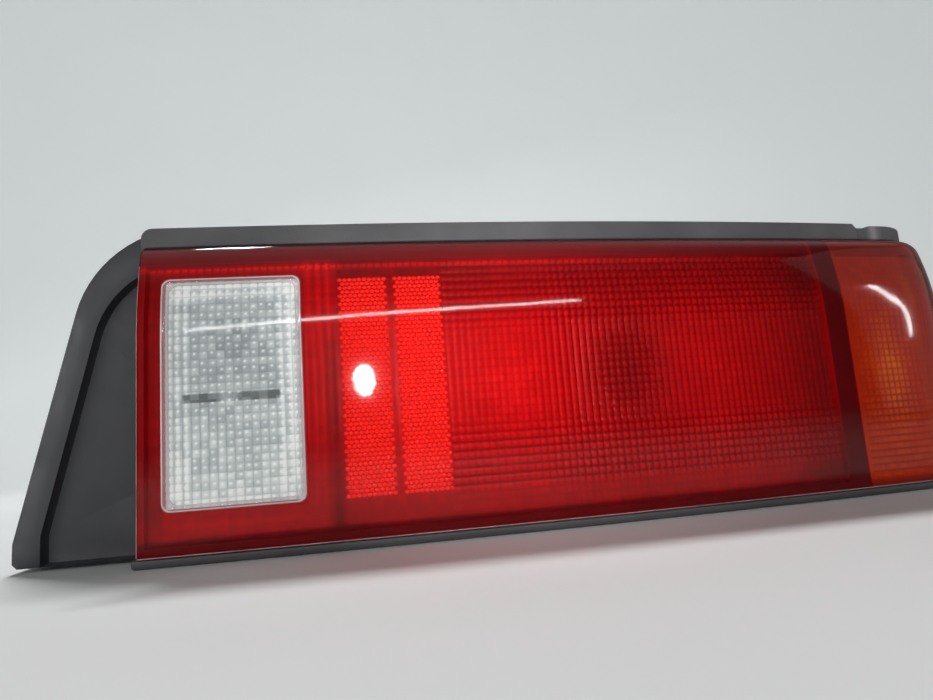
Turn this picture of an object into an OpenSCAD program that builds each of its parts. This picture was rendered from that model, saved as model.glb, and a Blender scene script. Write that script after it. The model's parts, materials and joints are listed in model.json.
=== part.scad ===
// Wrap-around tail lamp of a car's right-hand side, as it sits on the car.
// X runs outboard, Y runs forward into the car from the lens, and Z is up. The origin is the centre of the
// stud pattern, on the plane where the foam gasket meets the body panel. The modules are drawn in the lens's
// own frame, whose zero is the lower inboard corner of the face, and placed() moves them to the origin.

/* [Lens] */
// Height of the lens
lens_h = 132.5; // [125:0.5:145]
// Inboard end of the lens, from the face's zero
lens_x0 = -1.3; // [-3:0.1:0]
// Radius of the face in plan
face_r = 2550; // [2200:10:3200]
// Where the face turns into the outboard corner
corner_x = 385; // [370:1:400]
// Radius of the outboard corner in plan
corner_r = 45; // [38:1:60]
// Direction of the side, from the X axis
side_a = 86.5; // [82:0.5:89]
// Length of the side behind the corner
side_len = 46; // [30:1:60]
// Wall of the lens
lens_wall = 2.8; // [2:0.1:3.2]
// Depth of the lens's skirts behind the face
skirt_d = 15; // [14:0.5:18]
// Drop from the top of the lens to where the face starts to crown
crown_drop = 44.5; // [35:0.5:60]
// Radius of the crown
crown_r = 160; // [140:5:300]
// Radius of the top edge
top_r = 9; // [6:0.5:12]
// Radius of the bottom edge
edge_r = 1.2; // [0.6:0.1:2]
// Line between the red and the amber lens
split_x = 338.6; // [330:0.1:350]

/* [Prisms] */
// Pitch of the prism rows
prism_pitch = 3.5; // [3:0.1:5]
// Height of a prism
prism_h = 0.8; // [0.4:0.1:1.2]
// Lower edge of the prism rows
prism_z0 = 18; // [14:0.5:24]
// Plain band of the red lens beside the amber one
plain_band = 12.6; // [8:0.1:18]
// Pitch of the reflex prisms
reflex_pitch = 2.2; // [2:0.1:3]
// Height of a reflex prism
reflex_h = 1.0; // [0.5:0.1:1.4]

/* [Reversing window] */
// Inboard edge of the window
win_x0 = 8.3; // [7:0.1:12]
// Width of the window
win_w = 58.2; // [50:0.1:60]
// Lower edge of the window
win_z0 = 17.5; // [14:0.5:24]
// Margin above the window
win_top = 17; // [14:0.5:24]
// Corner radius of the window
win_r = 3.6; // [2:0.1:6]
// Width of the raised frame
frame_w = 2.6; // [1.6:0.1:4]
// How far the frame stands proud of the face
frame_proud = 0.9; // [0.4:0.1:1.5]
// How far the field lies below the face
field_sunk = 0.3; // [0.1:0.1:0.8]
// Thickness of the window block
win_t = 6; // [5:0.5:8]
// Height of the plain bar behind the window
bar_h = 2; // [1:0.5:4]
// Length of the plain bar
bar_len = 39; // [20:1:45]

/* [Reflex panels] */
// Inboard edge of the first panel
reflex_x0 = 82.4; // [80:0.1:86]
// Width of the first panel
reflex_w1 = 22; // [16:0.5:23]
// Gap between the panels
reflex_gap = 2.3; // [1:0.1:4]
// Width of the second panel
reflex_w2 = 20.6; // [14:0.1:22]
// Lower edge of the panels
reflex_z0 = 17.2; // [14:0.1:24]
// Margin above the panels
reflex_top = 20.1; // [15:0.1:26]
// Thickness of a panel behind the lens wall
reflex_t = 5; // [4:0.5:8]

/* [Seal] */
// Depth of the seal's front face behind the lens face
seal_d = 12; // [10:0.5:13]
// Width of the seal above the lens
seal_top = 9.5; // [7:0.5:12]
// Inboard end of the seal beyond the lens
seal_end = 2.4; // [1.5:0.1:4]
// Depth of the bottom ledge's front edge behind the face
ledge_d = 0.6; // [0:0.1:3]
// Thickness of the bottom ledge
ledge_t = 3.9; // [3:0.1:6]
// Where the top strip ends in its slanted cut
cut_x = 366; // [355:0.5:372]
// Drop of the seal after the cut
cut_drop = 3; // [1.5:0.1:4]

/* [Housing] */
// Wall of the housing
case_wall = 2.5; // [2:0.1:3]
// Thickness of the flange
flange_t = 2.5; // [2:0.1:4]
// Gap for the bonding bead between lens and flange
bond_gap = 1.5; // [1:0.1:2.5]
// Outer face of the rear wall
rear_y = 46; // [42:0.5:50]
// Outer face of the rear wall behind the indicator
deep_y = 64; // [60:0.5:68]
// Lower and upper inset of the casing from the lens
case_inset = 6; // [5:0.5:9]
// Inboard wall of the casing
case_x0 = 4; // [3.5:0.1:6]
// Where the rear wall steps back for the indicator
step_x = 338; // [336:0.5:342]
// Inner wall of the outboard pocket
pocket_x = 392; // [389:0.5:396]
// Thickness of the partitions
part_t = 2; // [1.5:0.1:3]
// Centre of the partition beside the reversing lamp
part_x1 = 75; // [74:0.1:77]
// Centre of the partition beside the indicator
part_x2 = 332; // [330:0.5:334]
// Radius of the locating peg on the outboard end
peg_r = 4; // [3:0.5:6]
// Length of the locating peg
peg_len = 10; // [6:0.5:14]

/* [Bulbs] */
// Reversing bulb across
reverse_x = 36; // [34:0.5:42]
// Reversing bulb up
reverse_z = 63.5; // [58:0.5:72]
// Stop and tail bulb across
stop_x = 214.5; // [200:0.5:240]
// Stop and tail bulb up
stop_z = 66.5; // [58:0.5:72]
// Indicator bulb across
turn_x = 366; // [365:0.5:368]
// Indicator bulb up
turn_z = 61; // [58:0.5:72]
// Radius of a bulb's glass
glass_r = 13; // [11:0.5:13.5]
// Thickness of the glass
glass_t = 0.8; // [0.6:0.1:1.2]
// Radius of a bulb's cap
cap_r = 7.5; // [7:0.1:8]
// Length of a bulb's cap
cap_len = 18; // [14:0.5:20]
// Reach of a bulb in front of the rear wall
bulb_reach = 30; // [26:0.5:30]

/* [Bulb holders] */
// Radius of the holes in the rear wall
hole_r = 16; // [15:0.5:18]
// Radius of a holder's flange
holder_flange_r = 20; // [19:0.5:21.5]
// Thickness of a holder's flange
holder_flange_t = 2.5; // [2:0.5:4]
// Radius of a holder's body
holder_r = 13.5; // [12:0.5:15]
// Length of a holder behind the rear wall
holder_len = 22; // [20:0.5:26]
// Thickness of a holder's seal ring
ring_t = 1.2; // [0.8:0.1:2]
// Width of a terminal blade
blade_w = 6.3; // [4:0.1:7]
// Length of a terminal blade behind its holder
blade_len = 8; // [5:0.5:10]

/* [Reflectors] */
// Thickness of a reflector
bowl_t = 1.2; // [0.8:0.1:2]
// Front of the reflectors ahead of the rear wall
bowl_reach = 15; // [14:0.5:17]
// Depth of a bowl
bowl_d = 10; // [8:0.5:11]
// Margin between the stop lamp's bowl and the casing
stop_bowl_edge = 12; // [10:0.5:20]
// Radius of the reversing lamp's bowl
reverse_bowl_r = 28; // [24:1:28]
// Radius of the indicator's bowl
turn_bowl_r = 21; // [19:0.5:22]

/* [Mounting] */
// Distance of the inboard studs from the partition beside the reversing lamp
stud_in = 9; // [9:0.5:14]
// Distance of the outboard studs from the partition beside the indicator
stud_out = 12; // [9:0.5:14]
// Height of the lower studs above the casing's underside
stud_low = 16; // [11:0.5:18]
// Drop of the upper studs below the casing's top
stud_high = 16.5; // [11:0.5:18]
// Radius of a stud
stud_r = 2.5; // [2:0.25:3]
// Length of a stud behind the gasket
stud_len = 24; // [15:1:30]
// Wall of the collar that a stud has in the housing and the gasket
collar_t = 1; // [0.5:0.25:1.5]
// How far a collar ends short of the body panel, for the foam to be squeezed
collar_drop = 1; // [0.5:0.5:2]
// Wall of the bosses that hold the studs
boss_t = 2.5; // [2:0.25:3]
// Length of the bosses inside the rear wall
boss_len = 7.5; // [5:0.5:9]
// Thickness of the foam gasket
foam_t = 4; // [2:0.5:6]
// Width of the vent cap
vent_r = 6; // [4:0.5:8]

/* [End filler] */
// Depth of the filler's outer band behind the face's zero
band_y = 22; // [21:0.5:24]
// Depth of the sunk panel behind the outer band
panel_drop = 5; // [3:0.5:6]
// Width of the outer band
band_w = 8.2; // [6:0.2:10]
// Height of the filler's upright foot
foot_h = 10.3; // [6:0.1:20]
// Angle of the filler's long edge from the X axis
edge_a = 76.3; // [75:0.1:80]
// Radius of the filler's top sweep
sweep_r = 51; // [45:1:55]
// Wall of the filler
filler_wall = 2.4; // [2:0.1:3]
// Depth of the filler's skirt behind its band
filler_skirt = 22; // [16:0.5:23]
// Radius of the filler's screws
screw_r = 1.6; // [1.4:0.1:2]
// Height of the lowest screw above the lens's lower edge
screw_low = 30; // [20:1:40]
// Drop of the highest screw below the lens's top
screw_top = 18.5; // [14:0.5:30]

/* [Hidden] */
$fn = 96;

// Clearances
fit = 0.3;         // between pieces that slide together
weld_gap = 0.15;   // round the window and behind the reflex panels
sink = 0.5;        // how far a fused feature starts inside its carrier
beyond = 20;       // how far a cutter runs past what it cuts

// A station of the lamp's plan line is a point on the lens's skin and the direction into the lamp there
function face_angle(x) = asin(x / face_r);
function inward(a) = [-sin(a), cos(a)];
function face_station(x) = let (a = face_angle(x)) [face_r * [sin(a), 1 - cos(a)], inward(a)];
crown_z = lens_h - crown_drop;
corner_a = face_angle(corner_x);
corner_c = at_depth(face_station(corner_x), corner_r);
function corner_station(a) = [corner_c - corner_r * inward(a), inward(a)];
function side_station(s) = [corner_station(side_a)[0] + s * [cos(side_a), sin(side_a)], inward(side_a)];
function at_depth(station, d) = station[0] + d * station[1];

// The stations from the place x on the face, round the corner and on to the length s along the side.
// Between the two ends they are the same for every piece, so that the pieces' chords match.
face_steps = 10;
function stations(x, s) = concat(
    [face_station(x)],
    [for (i = [1:face_steps]) let (p = corner_x * i / face_steps) if (p > x + 1) face_station(p)],
    [for (i = [1:12]) corner_station(corner_a + (side_a - corner_a) * i / 12)],
    [side_station(s)]
);
function plan_line(x, s, d) = [for (p = stations(x, s)) at_depth(p, d)];
// The plan of a strip between two depths
module band(x, s, d0, d1) polygon(concat(plan_line(x, s, d0), reversed(plan_line(x, s, d1))));

// The lens's section is drawn with X as the depth behind the face and Y as the height.
// The crown meets the top edge's arc at the angle crown_end.
crown_end = asin((lens_h - crown_z - top_r) / (crown_r - top_r));
top_c = [crown_r - (crown_r - top_r) * cos(crown_end), lens_h - top_r];

// Depth of a surface that lies t inside the face, at the height z
function skin(z, t) = z < crown_z ? t : crown_r - sqrt(pow(crown_r - t, 2) - pow(z - crown_z, 2));

// The skin t inside the outer one, from the bottom skirt's end to the top skirt's end
function below_crown(t, d) = concat(
    [[d, t]],
    [for (a = [270:-22.5:180]) let (r = max(edge_r - t, 0.2)) [t + r + r * cos(a), t + r + r * sin(a)]]
);
function above_crown(t, d) = concat(
    [for (a = [crown_end:8:90]) [top_c.x - (top_r - t) * cos(a), top_c.y + (top_r - t) * sin(a)]],
    [[top_c.x, lens_h - t], [max(d, top_c.x + 0.1), lens_h - t]]
);
function crown(t) = [for (i = [0:5]) let (z = crown_z + (top_c.y - crown_z) * i / 6) [skin(z, t), z]];
function skin_line(t, d) = concat(below_crown(t, d), crown(t), above_crown(t, d));

// The inner skin with its prism rows
prism_rows = floor((lens_h - 11.5 - prism_z0) / prism_pitch);
function prism_line(t) = [
    for (i = [0:2 * prism_rows])
        let (z = prism_z0 + i * prism_pitch / 2) [skin(z, t) + (i % 2 == 1 ? prism_h : 0), z]
];
function reversed(p) = [for (i = [len(p) - 1:-1:0]) p[i]];

// Sections as lists of points
function lens_section(t, d) = skin_line(t, d);
function ribbed_section(t, d) = concat(below_crown(t, d), prism_line(t), above_crown(t, d));
// The skin at t between two heights, and all that lies behind it
function skin_between(t, z0, z1) = [
    for (i = [0:24]) let (z = z0 + (z1 - z0) * i / 24) [skin(z, t), z]
];
function behind_skin(t, z0, z1) = concat(
    skin_between(t, z0, z1), [[corner_r - 1, z1], [corner_r - 1, z0]]
);

// A section is turned about the face's centre, from the place xa to the place xb
module along_face(section, xa, xb) translate([0, face_r, 0]) rotate([0, 0, face_angle(xa) - 90])
    rotate_extrude(angle = face_angle(xb) - face_angle(xa), $fn = 256)
        translate([face_r, 0]) mirror([1, 0]) polygon(section);

// A section is run straight from the place xa to the place xb, for pieces too short to show the face's curve
module along_chord(section, xa, xb) {
    from = face_station(xa)[0];
    run = face_station(xb)[0] - from;
    translate([from.x, from.y, 0]) rotate([90, 0, 90 + atan2(run.y, run.x)])
        linear_extrude(norm(run)) polygon(section);
}

// A convex section is swept through a list of stations
function turning(p) = let (n = len(p))
    [for (i = [0:n - 1]) p[i].x * p[(i + 1) % n].y - p[(i + 1) % n].x * p[i].y] * [for (i = [1:n]) 1];
module sweep(section, path) {
    ring = turning(section) > 0 ? section : reversed(section);
    n = len(ring);
    last = (len(path) - 1) * n;
    polyhedron(
        points = [for (s = path, q = ring) let (p = at_depth(s, q.x)) [p.x, p.y, q.y]],
        faces = concat(
            [[for (j = [0:n - 1]) j]],
            [[for (j = [n - 1:-1:0]) last + j]],
            [for (i = [0:n:last - n], j = [0:n - 1])
                [i + n + j, i + n + (j + 1) % n, i + (j + 1) % n, i + j]]
        )
    );
}

// An upright plan shape, between two heights
module upright(z0, z1) translate([0, 0, z0]) linear_extrude(z1 - z0) children();
// A shape drawn as seen from behind the lens, with X across and Y up, run along Y from y0 to y1
module through(y0, y1) translate([0, y1, 0]) rotate([90, 0, 0]) linear_extrude(y1 - y0) children();
// A round feature along Y
module round_y(x, y0, y1, z, r) translate([x, y1, z]) rotate([90, 0, 0]) cylinder(h = y1 - y0, r = r);
module round_rect(x, z, w, h, r) polygon([
    for (k = [0:3], a = [0:15:90])
        [x + (k % 3 == 0 ? w - r : r), z + (k < 2 ? h - r : r)] + r * [cos(90 * k + a), sin(90 * k + a)]
]);

module placed() translate([-stud_x, -mount_y, -stud_z]) children();

// Places worked out from the sizes above
mount_y = rear_y + foam_t;
flange_d = skirt_d + bond_gap;
flange_back = flange_d + flange_t;
seal_z1 = lens_h + seal_top;
seal_z0 = -fit - ledge_t;
seal_x0 = lens_x0 - seal_end;
seal_s1 = side_len + seal_end;
case_z0 = case_inset;
case_z1 = lens_h - case_inset;
end_y = at_depth(side_station(side_len), flange_d).y;
bulb_places = [[reverse_x, rear_y, reverse_z], [stop_x, rear_y, stop_z], [turn_x, deep_y, turn_z]];
stop_bowl_r = min(stop_z - case_z0, case_z1 - stop_z) - stop_bowl_edge;
stud_xs = [part_x1 + stud_in, part_x2 - stud_out];
stud_zs = [case_z0 + stud_low, case_z1 - stud_high];
stud_x = (stud_xs[0] + stud_xs[1]) / 2;
stud_z = (stud_zs[0] + stud_zs[1]) / 2;
stud_places = [for (x = stud_xs, z = stud_zs) [x, z]];
collar_r = stud_r + collar_t;

// Lens block: crowned in front at t inside the face, flat at back_y, with the outline that it is given
module lens_block(x0, x1, z0, z1, t, back_y) intersection() {
    along_chord(behind_skin(t, z0 - 1, z1 + 1), x0 - 1, x1 + 1);
    through(-beyond, back_y) children();
}
// A grid of small pyramids on a flat back
function teeth(from, to, pitch, base, height) =
    let (n = round((to - from) / pitch), step = (to - from) / n)
    [for (i = [0:2 * n]) [from + i * step / 2, base + (i % 2 == 1 ? height : 0)]];
module prism_pad(x0, x1, z0, z1, back_y, pitch_x, pitch_z, height) intersection() {
    base = back_y + 0.1;
    upright(z0, z1) polygon(concat(
        [[x0, back_y - sink]], teeth(x0, x1, pitch_x, base, height), [[x1, back_y - sink]]
    ));
    translate([x0 - 1, 0, 0]) rotate([90, 0, 90]) linear_extrude(x1 - x0 + 2) polygon(concat(
        [[back_y - 2, z0 - 1], [base, z0 - 1]],
        [for (p = teeth(z0, z1, pitch_z, base, height)) [p.y, p.x]],
        [[base, z1 + 1], [back_y - 2, z1 + 1]]
    ));
}

module window_outline(inset) round_rect(
    win_x0 + inset, win_z0 + inset, win_w - 2 * inset, win_h - 2 * inset, max(win_r - inset, 0.8)
);

// Red lens: a shell with prism rows inside, plain over the reflex panels and beside the amber lens
module lens_red() color([0.78, 0.02, 0.05]) placed() difference() {
    red_x1 = split_x - lens_wall;
    along_face(lens_section(0, skirt_d), lens_x0, split_x);
    along_face(ribbed_section(lens_wall, skirt_d + 1), lens_x0 + lens_wall, red_x1);
    along_face(lens_section(lens_wall - 0.05, skirt_d + 2), reflex_x0 - 2, reflex_x2 + 2);
    along_face(lens_section(lens_wall - 0.05, skirt_d + 2), split_x - plain_band, red_x1 - 0.05);
    through(-beyond, skirt_d - 2) window_outline(-weld_gap);
}

// Amber lens: the rest of the face, the corner and the side, with upright flutes inside
module lens_amber() color([0.85, 0.25, 0.05]) placed() {
    amber_x0 = split_x + lens_wall;
    amber_s1 = side_len - lens_wall;
    difference() {
        sweep(lens_section(0, skirt_d), stations(split_x, side_len));
        sweep(lens_section(lens_wall, skirt_d + 1), stations(amber_x0, amber_s1));
    }
    face_n = round((corner_x - amber_x0) / prism_pitch);
    turn_n = round((side_a - corner_a) * PI / 180 * corner_r / prism_pitch);
    side_n = round(amber_s1 / prism_pitch);
    path = concat(
        [for (i = [0:2 * face_n - 1]) face_station(amber_x0 + (corner_x - amber_x0) * i / face_n / 2)],
        [for (i = [0:2 * turn_n - 1]) corner_station(corner_a + (side_a - corner_a) * i / turn_n / 2)],
        [for (i = [0:2 * side_n]) side_station(amber_s1 * i / side_n / 2)]
    );
    upright(prism_z0, crown_z) polygon(concat(
        [for (i = [0:len(path) - 1]) at_depth(path[i], lens_wall + (i % 2 == 1 ? prism_h : 0))],
        [for (i = [len(path) - 1:-1:0]) at_depth(path[i], lens_wall - sink)]
    ));
}

// Clear window: raised frame, sunk field and prisms behind, with a plain bar level with the bulb
win_x1 = win_x0 + win_w;
win_h = lens_h - win_z0 - win_top;
win_back = face_station(win_x1)[0].y + win_t;
module reverse_window() color([0.85, 0.87, 0.88]) placed() {
    win_z1 = win_z0 + win_h;
    lens_block(win_x0, win_x1, win_z0, win_z1, field_sunk, win_back) window_outline(0);
    prism_pad(
        win_x0 + frame_w, win_x1 - frame_w, win_z0 + frame_w, win_z1 - frame_w, win_back,
        prism_pitch, prism_pitch, prism_h
    );
    intersection() {
        through(-beyond, beyond) difference() {
            window_outline(0);
            window_outline(frame_w);
        }
        along_chord(
            concat(
                skin_between(-frame_proud, win_z0 - 1, win_z1 + 1),
                reversed(skin_between(field_sunk + sink, win_z0 - 1, win_z1 + 1))
            ),
            win_x0 - 1, win_x1 + 1
        );
    }
    translate([reverse_x - bar_len / 2, win_back - sink, reverse_z - bar_h / 2])
        cube([bar_len, sink + prism_h, bar_h]);
}

// Reflex panels: bonded behind the plain part of the red wall
reflex_hgt = lens_h - reflex_z0 - reflex_top;
reflex_x1 = reflex_x0 + reflex_w1 + reflex_gap;
reflex_x2 = reflex_x1 + reflex_w2;
reflex_back = face_station(reflex_x2)[0].y + lens_wall + reflex_t;
module reflex_panel(x, w) placed() {
    z1 = reflex_z0 + reflex_hgt;
    lens_block(x, x + w, reflex_z0, z1, lens_wall + weld_gap, reflex_back)
        translate([x, reflex_z0]) square([w, reflex_hgt]);
    prism_pad(
        x + 0.5, x + w - 0.5, reflex_z0 + 0.5, z1 - 0.5, reflex_back, reflex_pitch, 2 * reflex_pitch,
        reflex_h
    );
}
module reflex_panel_inboard() color([1, 0.12, 0.1]) reflex_panel(reflex_x0, reflex_w1);
module reflex_panel_outboard() color([1, 0.12, 0.1]) reflex_panel(reflex_x1, reflex_w2);

// Rim seal: a frame round the lens's edge and a ledge below it. Its top strip ends in a slanted cut.
module rim_seal() color([0.16, 0.16, 0.17]) placed() difference() {
    union() {
        upright(seal_z0 + fit, seal_z1) band(seal_x0, seal_s1, seal_d, flange_d);
        upright(seal_z0, -fit) band(seal_x0 + fit, seal_s1 - fit, ledge_d, seal_d + 2);
    }
    upright(-fit, lens_h + fit) band(lens_x0 - fit, side_len + fit, -beyond, flange_d + 1);
    through(0, 3 * rear_y) polygon([
        [cut_x, seal_z1 + 1], [cut_x, seal_z1], [cut_x + cut_drop, seal_z1 - cut_drop],
        [cut_x + cut_drop, lens_h - fit], [corner_x + 2 * corner_r, lens_h - fit],
        [corner_x + 2 * corner_r, seal_z1 + 1]
    ]);
}

// Corner seal: from the cut round the corner to the outboard end, with a ramp where it starts. It starts far
// enough along the face for its back edge, which leans inboard, to stay clear of the cut.
corner_seal_x = cut_x + cut_drop + fit + flange_d * sin(face_angle(cut_x + cut_drop));
module corner_seal() color([0.2, 0.2, 0.21]) placed() difference() {
    upright(lens_h + fit, seal_z1 - 1) band(corner_seal_x, seal_s1, seal_d, flange_d);
    through(0, 3 * rear_y) polygon([
        [cut_x, seal_z1 - cut_drop], [cut_x + 2 * cut_drop, seal_z1 - cut_drop + 1],
        [cut_x + 4 * cut_drop, seal_z1 - 1], [cut_x + 4 * cut_drop, seal_z1 + 1], [cut_x, seal_z1 + 1]
    ]);
}

// Bonding bead between the lens's edge and the flange
module lens_bond() color([0.1, 0.1, 0.1]) placed() difference() {
    bead_w = lens_wall - 0.4;
    upright(0.2, lens_h - 0.2) band(lens_x0, side_len, skirt_d, flange_d);
    upright(0.2 + bead_w, lens_h - 0.2 - bead_w)
        band(lens_x0 + bead_w, side_len - bead_w, skirt_d - 1, flange_d + 1);
}

// Housing: a flange that follows the lens, and a casing with a flat back and a deep outboard pocket
function case_back(w) = [
    [pocket_x + w, end_y - w], [pocket_x - 2 + w, deep_y - w], [step_x + 4 + w, deep_y - w],
    [step_x + w, rear_y - w], [case_x0 + 4, rear_y - w], [case_x0 + w, rear_y - 4 - w]
];
module case_plan(w, d) polygon(concat(plan_line(case_x0 + w, side_len - w, d), case_back(w)));
module partition(x) difference() {
    upright(case_z0 + sink, case_z1 - sink) translate([x - part_t / 2, 0])
        square([part_t, rear_y - sink]);
    upright(0, lens_h) polygon(concat(
        [for (i = [-2:2]) at_depth(face_station(x + i * part_t), skirt_d - 3)],
        [[x + 3 * part_t, -1], [x - 3 * part_t, -1]]
    ));
}
screw_zs = [screw_low, (screw_low + lens_h - screw_top) / 2, lens_h - screw_top];
module housing() color([0.12, 0.12, 0.13]) placed() {
    difference() {
        union() {
            upright(seal_z0, seal_z1 - 1) band(seal_x0, seal_s1, flange_d, flange_back);
            upright(case_z0, case_z1) case_plan(0, flange_d + flange_t / 2);
            for (z = screw_zs) round_y(0, flange_d + sink, panel_y, z, 2 * screw_r + 0.2);
        }
        upright(case_z0 + case_wall, case_z1 - case_wall) case_plan(case_wall, skirt_d - 3);
        for (p = bulb_places) round_y(p.x, p.y - beyond, p.y + beyond, p.z, hole_r);
        for (z = screw_zs) round_y(0, flange_back + 1, panel_y + 1, z, screw_r);
        for (p = stud_places) round_y(p.x, rear_y - beyond, rear_y + 1, p.y, collar_r);
    }
    partition(part_x1);
    partition(part_x2);
    for (p = stud_places) difference() {
        round_y(p.x, boss_y, rear_y - sink, p.y, collar_r + boss_t);
        round_y(p.x, boss_y - 1, rear_y, p.y, collar_r);
    }
    round_y(peg_x, end_y - sink, end_y + peg_len, stud_z, peg_r);
}
boss_y = rear_y - case_wall - boss_len;
// The peg stands clear of the flange, so that the sleeve it goes into does too
peg_x = at_depth(side_station(side_len), flange_back).x - peg_r - 1.5;

// Reflector: a flat liner with a bowl round the bulb
module reflector(x0, x1, bulb, y, bowl_r) color([0.9, 0.9, 0.92]) placed() {
    front_y = y - bowl_reach;
    z0 = case_z0 + case_wall + fit;
    z1 = case_z1 - case_wall - fit;
    mouth_r = glass_r + 1.5;
    difference() {
        through(front_y, front_y + bowl_t) translate([x0, z0]) square([x1 - x0, z1 - z0]);
        round_y(bulb.x, front_y - 1, front_y + bowl_t + 1, bulb.z, bowl_r);
    }
    translate([bulb.x, front_y, bulb.z]) rotate([-90, 0, 0]) rotate_extrude()
        polygon(concat(
            [for (i = [0:8]) let (r = mouth_r + (bowl_r - mouth_r) * i / 8) [r, bowl_y(r, bowl_r, mouth_r)]],
            [[bowl_r + bowl_t, 0], [bowl_r + bowl_t, bowl_t]],
            [for (i = [8:-1:0]) let (r = mouth_r + (bowl_r - mouth_r) * i / 8)
                [r, bowl_y(r, bowl_r, mouth_r) + bowl_t]]
        ));
}
function bowl_y(r, bowl_r, mouth_r) = bowl_d * (bowl_r * bowl_r - r * r) / (bowl_r * bowl_r - mouth_r * mouth_r);
module reverse_reflector() reflector(
    case_x0 + case_wall + fit, part_x1 - part_t / 2 - fit, bulb_places[0], rear_y, reverse_bowl_r
);
module stop_reflector() reflector(
    part_x1 + part_t / 2 + fit, part_x2 - part_t / 2 - fit, bulb_places[1], rear_y, stop_bowl_r
);
module turn_reflector() reflector(
    step_x + 4 + case_wall + fit, pocket_x - 4 + case_wall, bulb_places[2], deep_y, turn_bowl_r
);

// Bulbs: each is drawn with its axis along Z, and its tip up, from the rear wall's outer face
module at_bulb(i) placed() translate(bulb_places[i]) rotate([90, 0, 0]) children();
neck_r = cap_r - 0.8;
ball_z = bulb_reach - glass_r;
neck_a = acos(neck_r / glass_r);
module glass_outline(t) {
    polygon(concat(
        [[0, 0], [neck_r - t, 0]],
        [for (i = [0:12]) let (a = -neck_a + (90 + neck_a) * i / 12)
            [(i == 12 ? 0 : (glass_r - t) * cos(a)), ball_z + (glass_r - t) * sin(a)]]
    ));
}
module bulb_glass(i) color([0.9, 0.95, 1, 0.5]) at_bulb(i) rotate_extrude() difference() {
    glass_outline(0);
    translate([0, glass_t]) intersection() {
        glass_outline(glass_t);
        square([glass_r, bulb_reach - 2 * glass_t]);
    }
}
module bulb_cap(i) color([0.8, 0.7, 0.45]) at_bulb(i) rotate_extrude() polygon([
    [0, 0], [neck_r, 0], [neck_r, 1.5], [cap_r, 1.5], [cap_r, 1.5 - cap_len], [cap_r - 1, 0.5 - cap_len],
    [2.5, 0.5 - cap_len], [2.5, -0.5 - cap_len], [0, -0.5 - cap_len]
]);
module reverse_bulb_glass() bulb_glass(0);
module reverse_bulb_cap() bulb_cap(0);
module stop_bulb_glass() bulb_glass(1);
module stop_bulb_cap() bulb_cap(1);
module turn_bulb_glass() bulb_glass(2);
module turn_bulb_cap() bulb_cap(2);

// Bulb holder: a neck in the wall's hole, a flange on its seal ring, a ribbed body and a blind bore
bore_r = cap_r + fit;
module bulb_holder(i) color([0.25, 0.25, 0.26]) at_bulb(i) {
    difference() {
        union() {
            translate([0, 0, -ring_t]) cylinder(h = ring_t + case_wall, r = hole_r - fit);
            translate([0, 0, -ring_t - holder_flange_t]) cylinder(h = holder_flange_t, r = holder_flange_r);
            translate([0, 0, -holder_len]) cylinder(h = holder_len - ring_t, r = holder_r);
            for (a = [0:30:330]) rotate(a) translate([holder_r - sink, -0.8, -holder_len + 2])
                cube([1.5 + sink, 1.6, holder_len - ring_t - holder_flange_t - 1.5]);
        }
        translate([0, 0, -cap_len - 0.5]) cylinder(h = cap_len + beyond, r = bore_r);
        for (x = [-1, 1]) translate([x * blade_x - blade_w / 2, -0.4, -holder_len - 1])
            cube([blade_w, 0.8, 4]);
    }
}
blade_x = blade_w * 0.75;
module reverse_bulb_holder() bulb_holder(0);
module stop_bulb_holder() bulb_holder(1);
module turn_bulb_holder() bulb_holder(2);

// Seal ring between a holder's flange and the rear wall
module holder_seal(i) color([0.05, 0.05, 0.05]) at_bulb(i) rotate_extrude()
    translate([hole_r + fit, -ring_t]) square([holder_flange_r - hole_r - 2 * fit, ring_t]);
module reverse_holder_seal() holder_seal(0);
module stop_holder_seal() holder_seal(1);
module turn_holder_seal() holder_seal(2);

// Terminal blades, two in each holder's back
module terminals(i) color([0.85, 0.75, 0.4]) at_bulb(i) for (x = [-1, 1])
    translate([x * blade_x - blade_w / 2, -0.4, -holder_len - blade_len])
        cube([blade_w, 0.8, blade_len + 3]);
module reverse_terminals() terminals(0);
module stop_terminals() terminals(1);
module turn_terminals() terminals(2);

// Foam gasket between the rear wall and the body panel
module mounting_gasket() color([0.3, 0.3, 0.32]) placed() difference() {
    through(rear_y, mount_y) round_rect(
        case_x0 + 6, case_z0 + 4, step_x - case_x0 - 12, case_z1 - case_z0 - 8, 6
    );
    for (i = [0, 1]) round_y(bulb_places[i].x, rear_y - 1, mount_y + 1, bulb_places[i].z, holder_flange_r + 2);
    for (p = stud_places) round_y(p.x, rear_y - 1, mount_y + 1, p.y, collar_r + fit);
    round_y(vent_x, rear_y - 1, mount_y + 1, vent_z, vent_r + 1.5);
}

// Studs: each has a round head on its boss inside the housing, and a collar up to the body panel
module mounting_studs() color([0.75, 0.75, 0.76]) placed() for (p = stud_places) {
    round_y(p.x, boss_y - 2, boss_y, p.y, collar_r + boss_t / 2);
    round_y(p.x, boss_y - 1, mount_y - collar_drop, p.y, collar_r);
    round_y(p.x, mount_y - collar_drop - sink, mount_y + stud_len, p.y, stud_r);
}

// Breather cap on the rear wall
vent_x = (stud_x + stud_xs[0]) / 2;
vent_z = stud_zs[1] - 2.5 * vent_r;
module vent_cap() color([0.08, 0.08, 0.08]) placed() translate([vent_x, rear_y, vent_z]) rotate([-90, 0, 0])
    rotate_extrude() polygon([
        [0, 0], [vent_r - 1.5, 0], [vent_r - 1.5, 2], [vent_r, 2], [vent_r, 6], [vent_r - 1, 7], [0, 7]
    ]);

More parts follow.
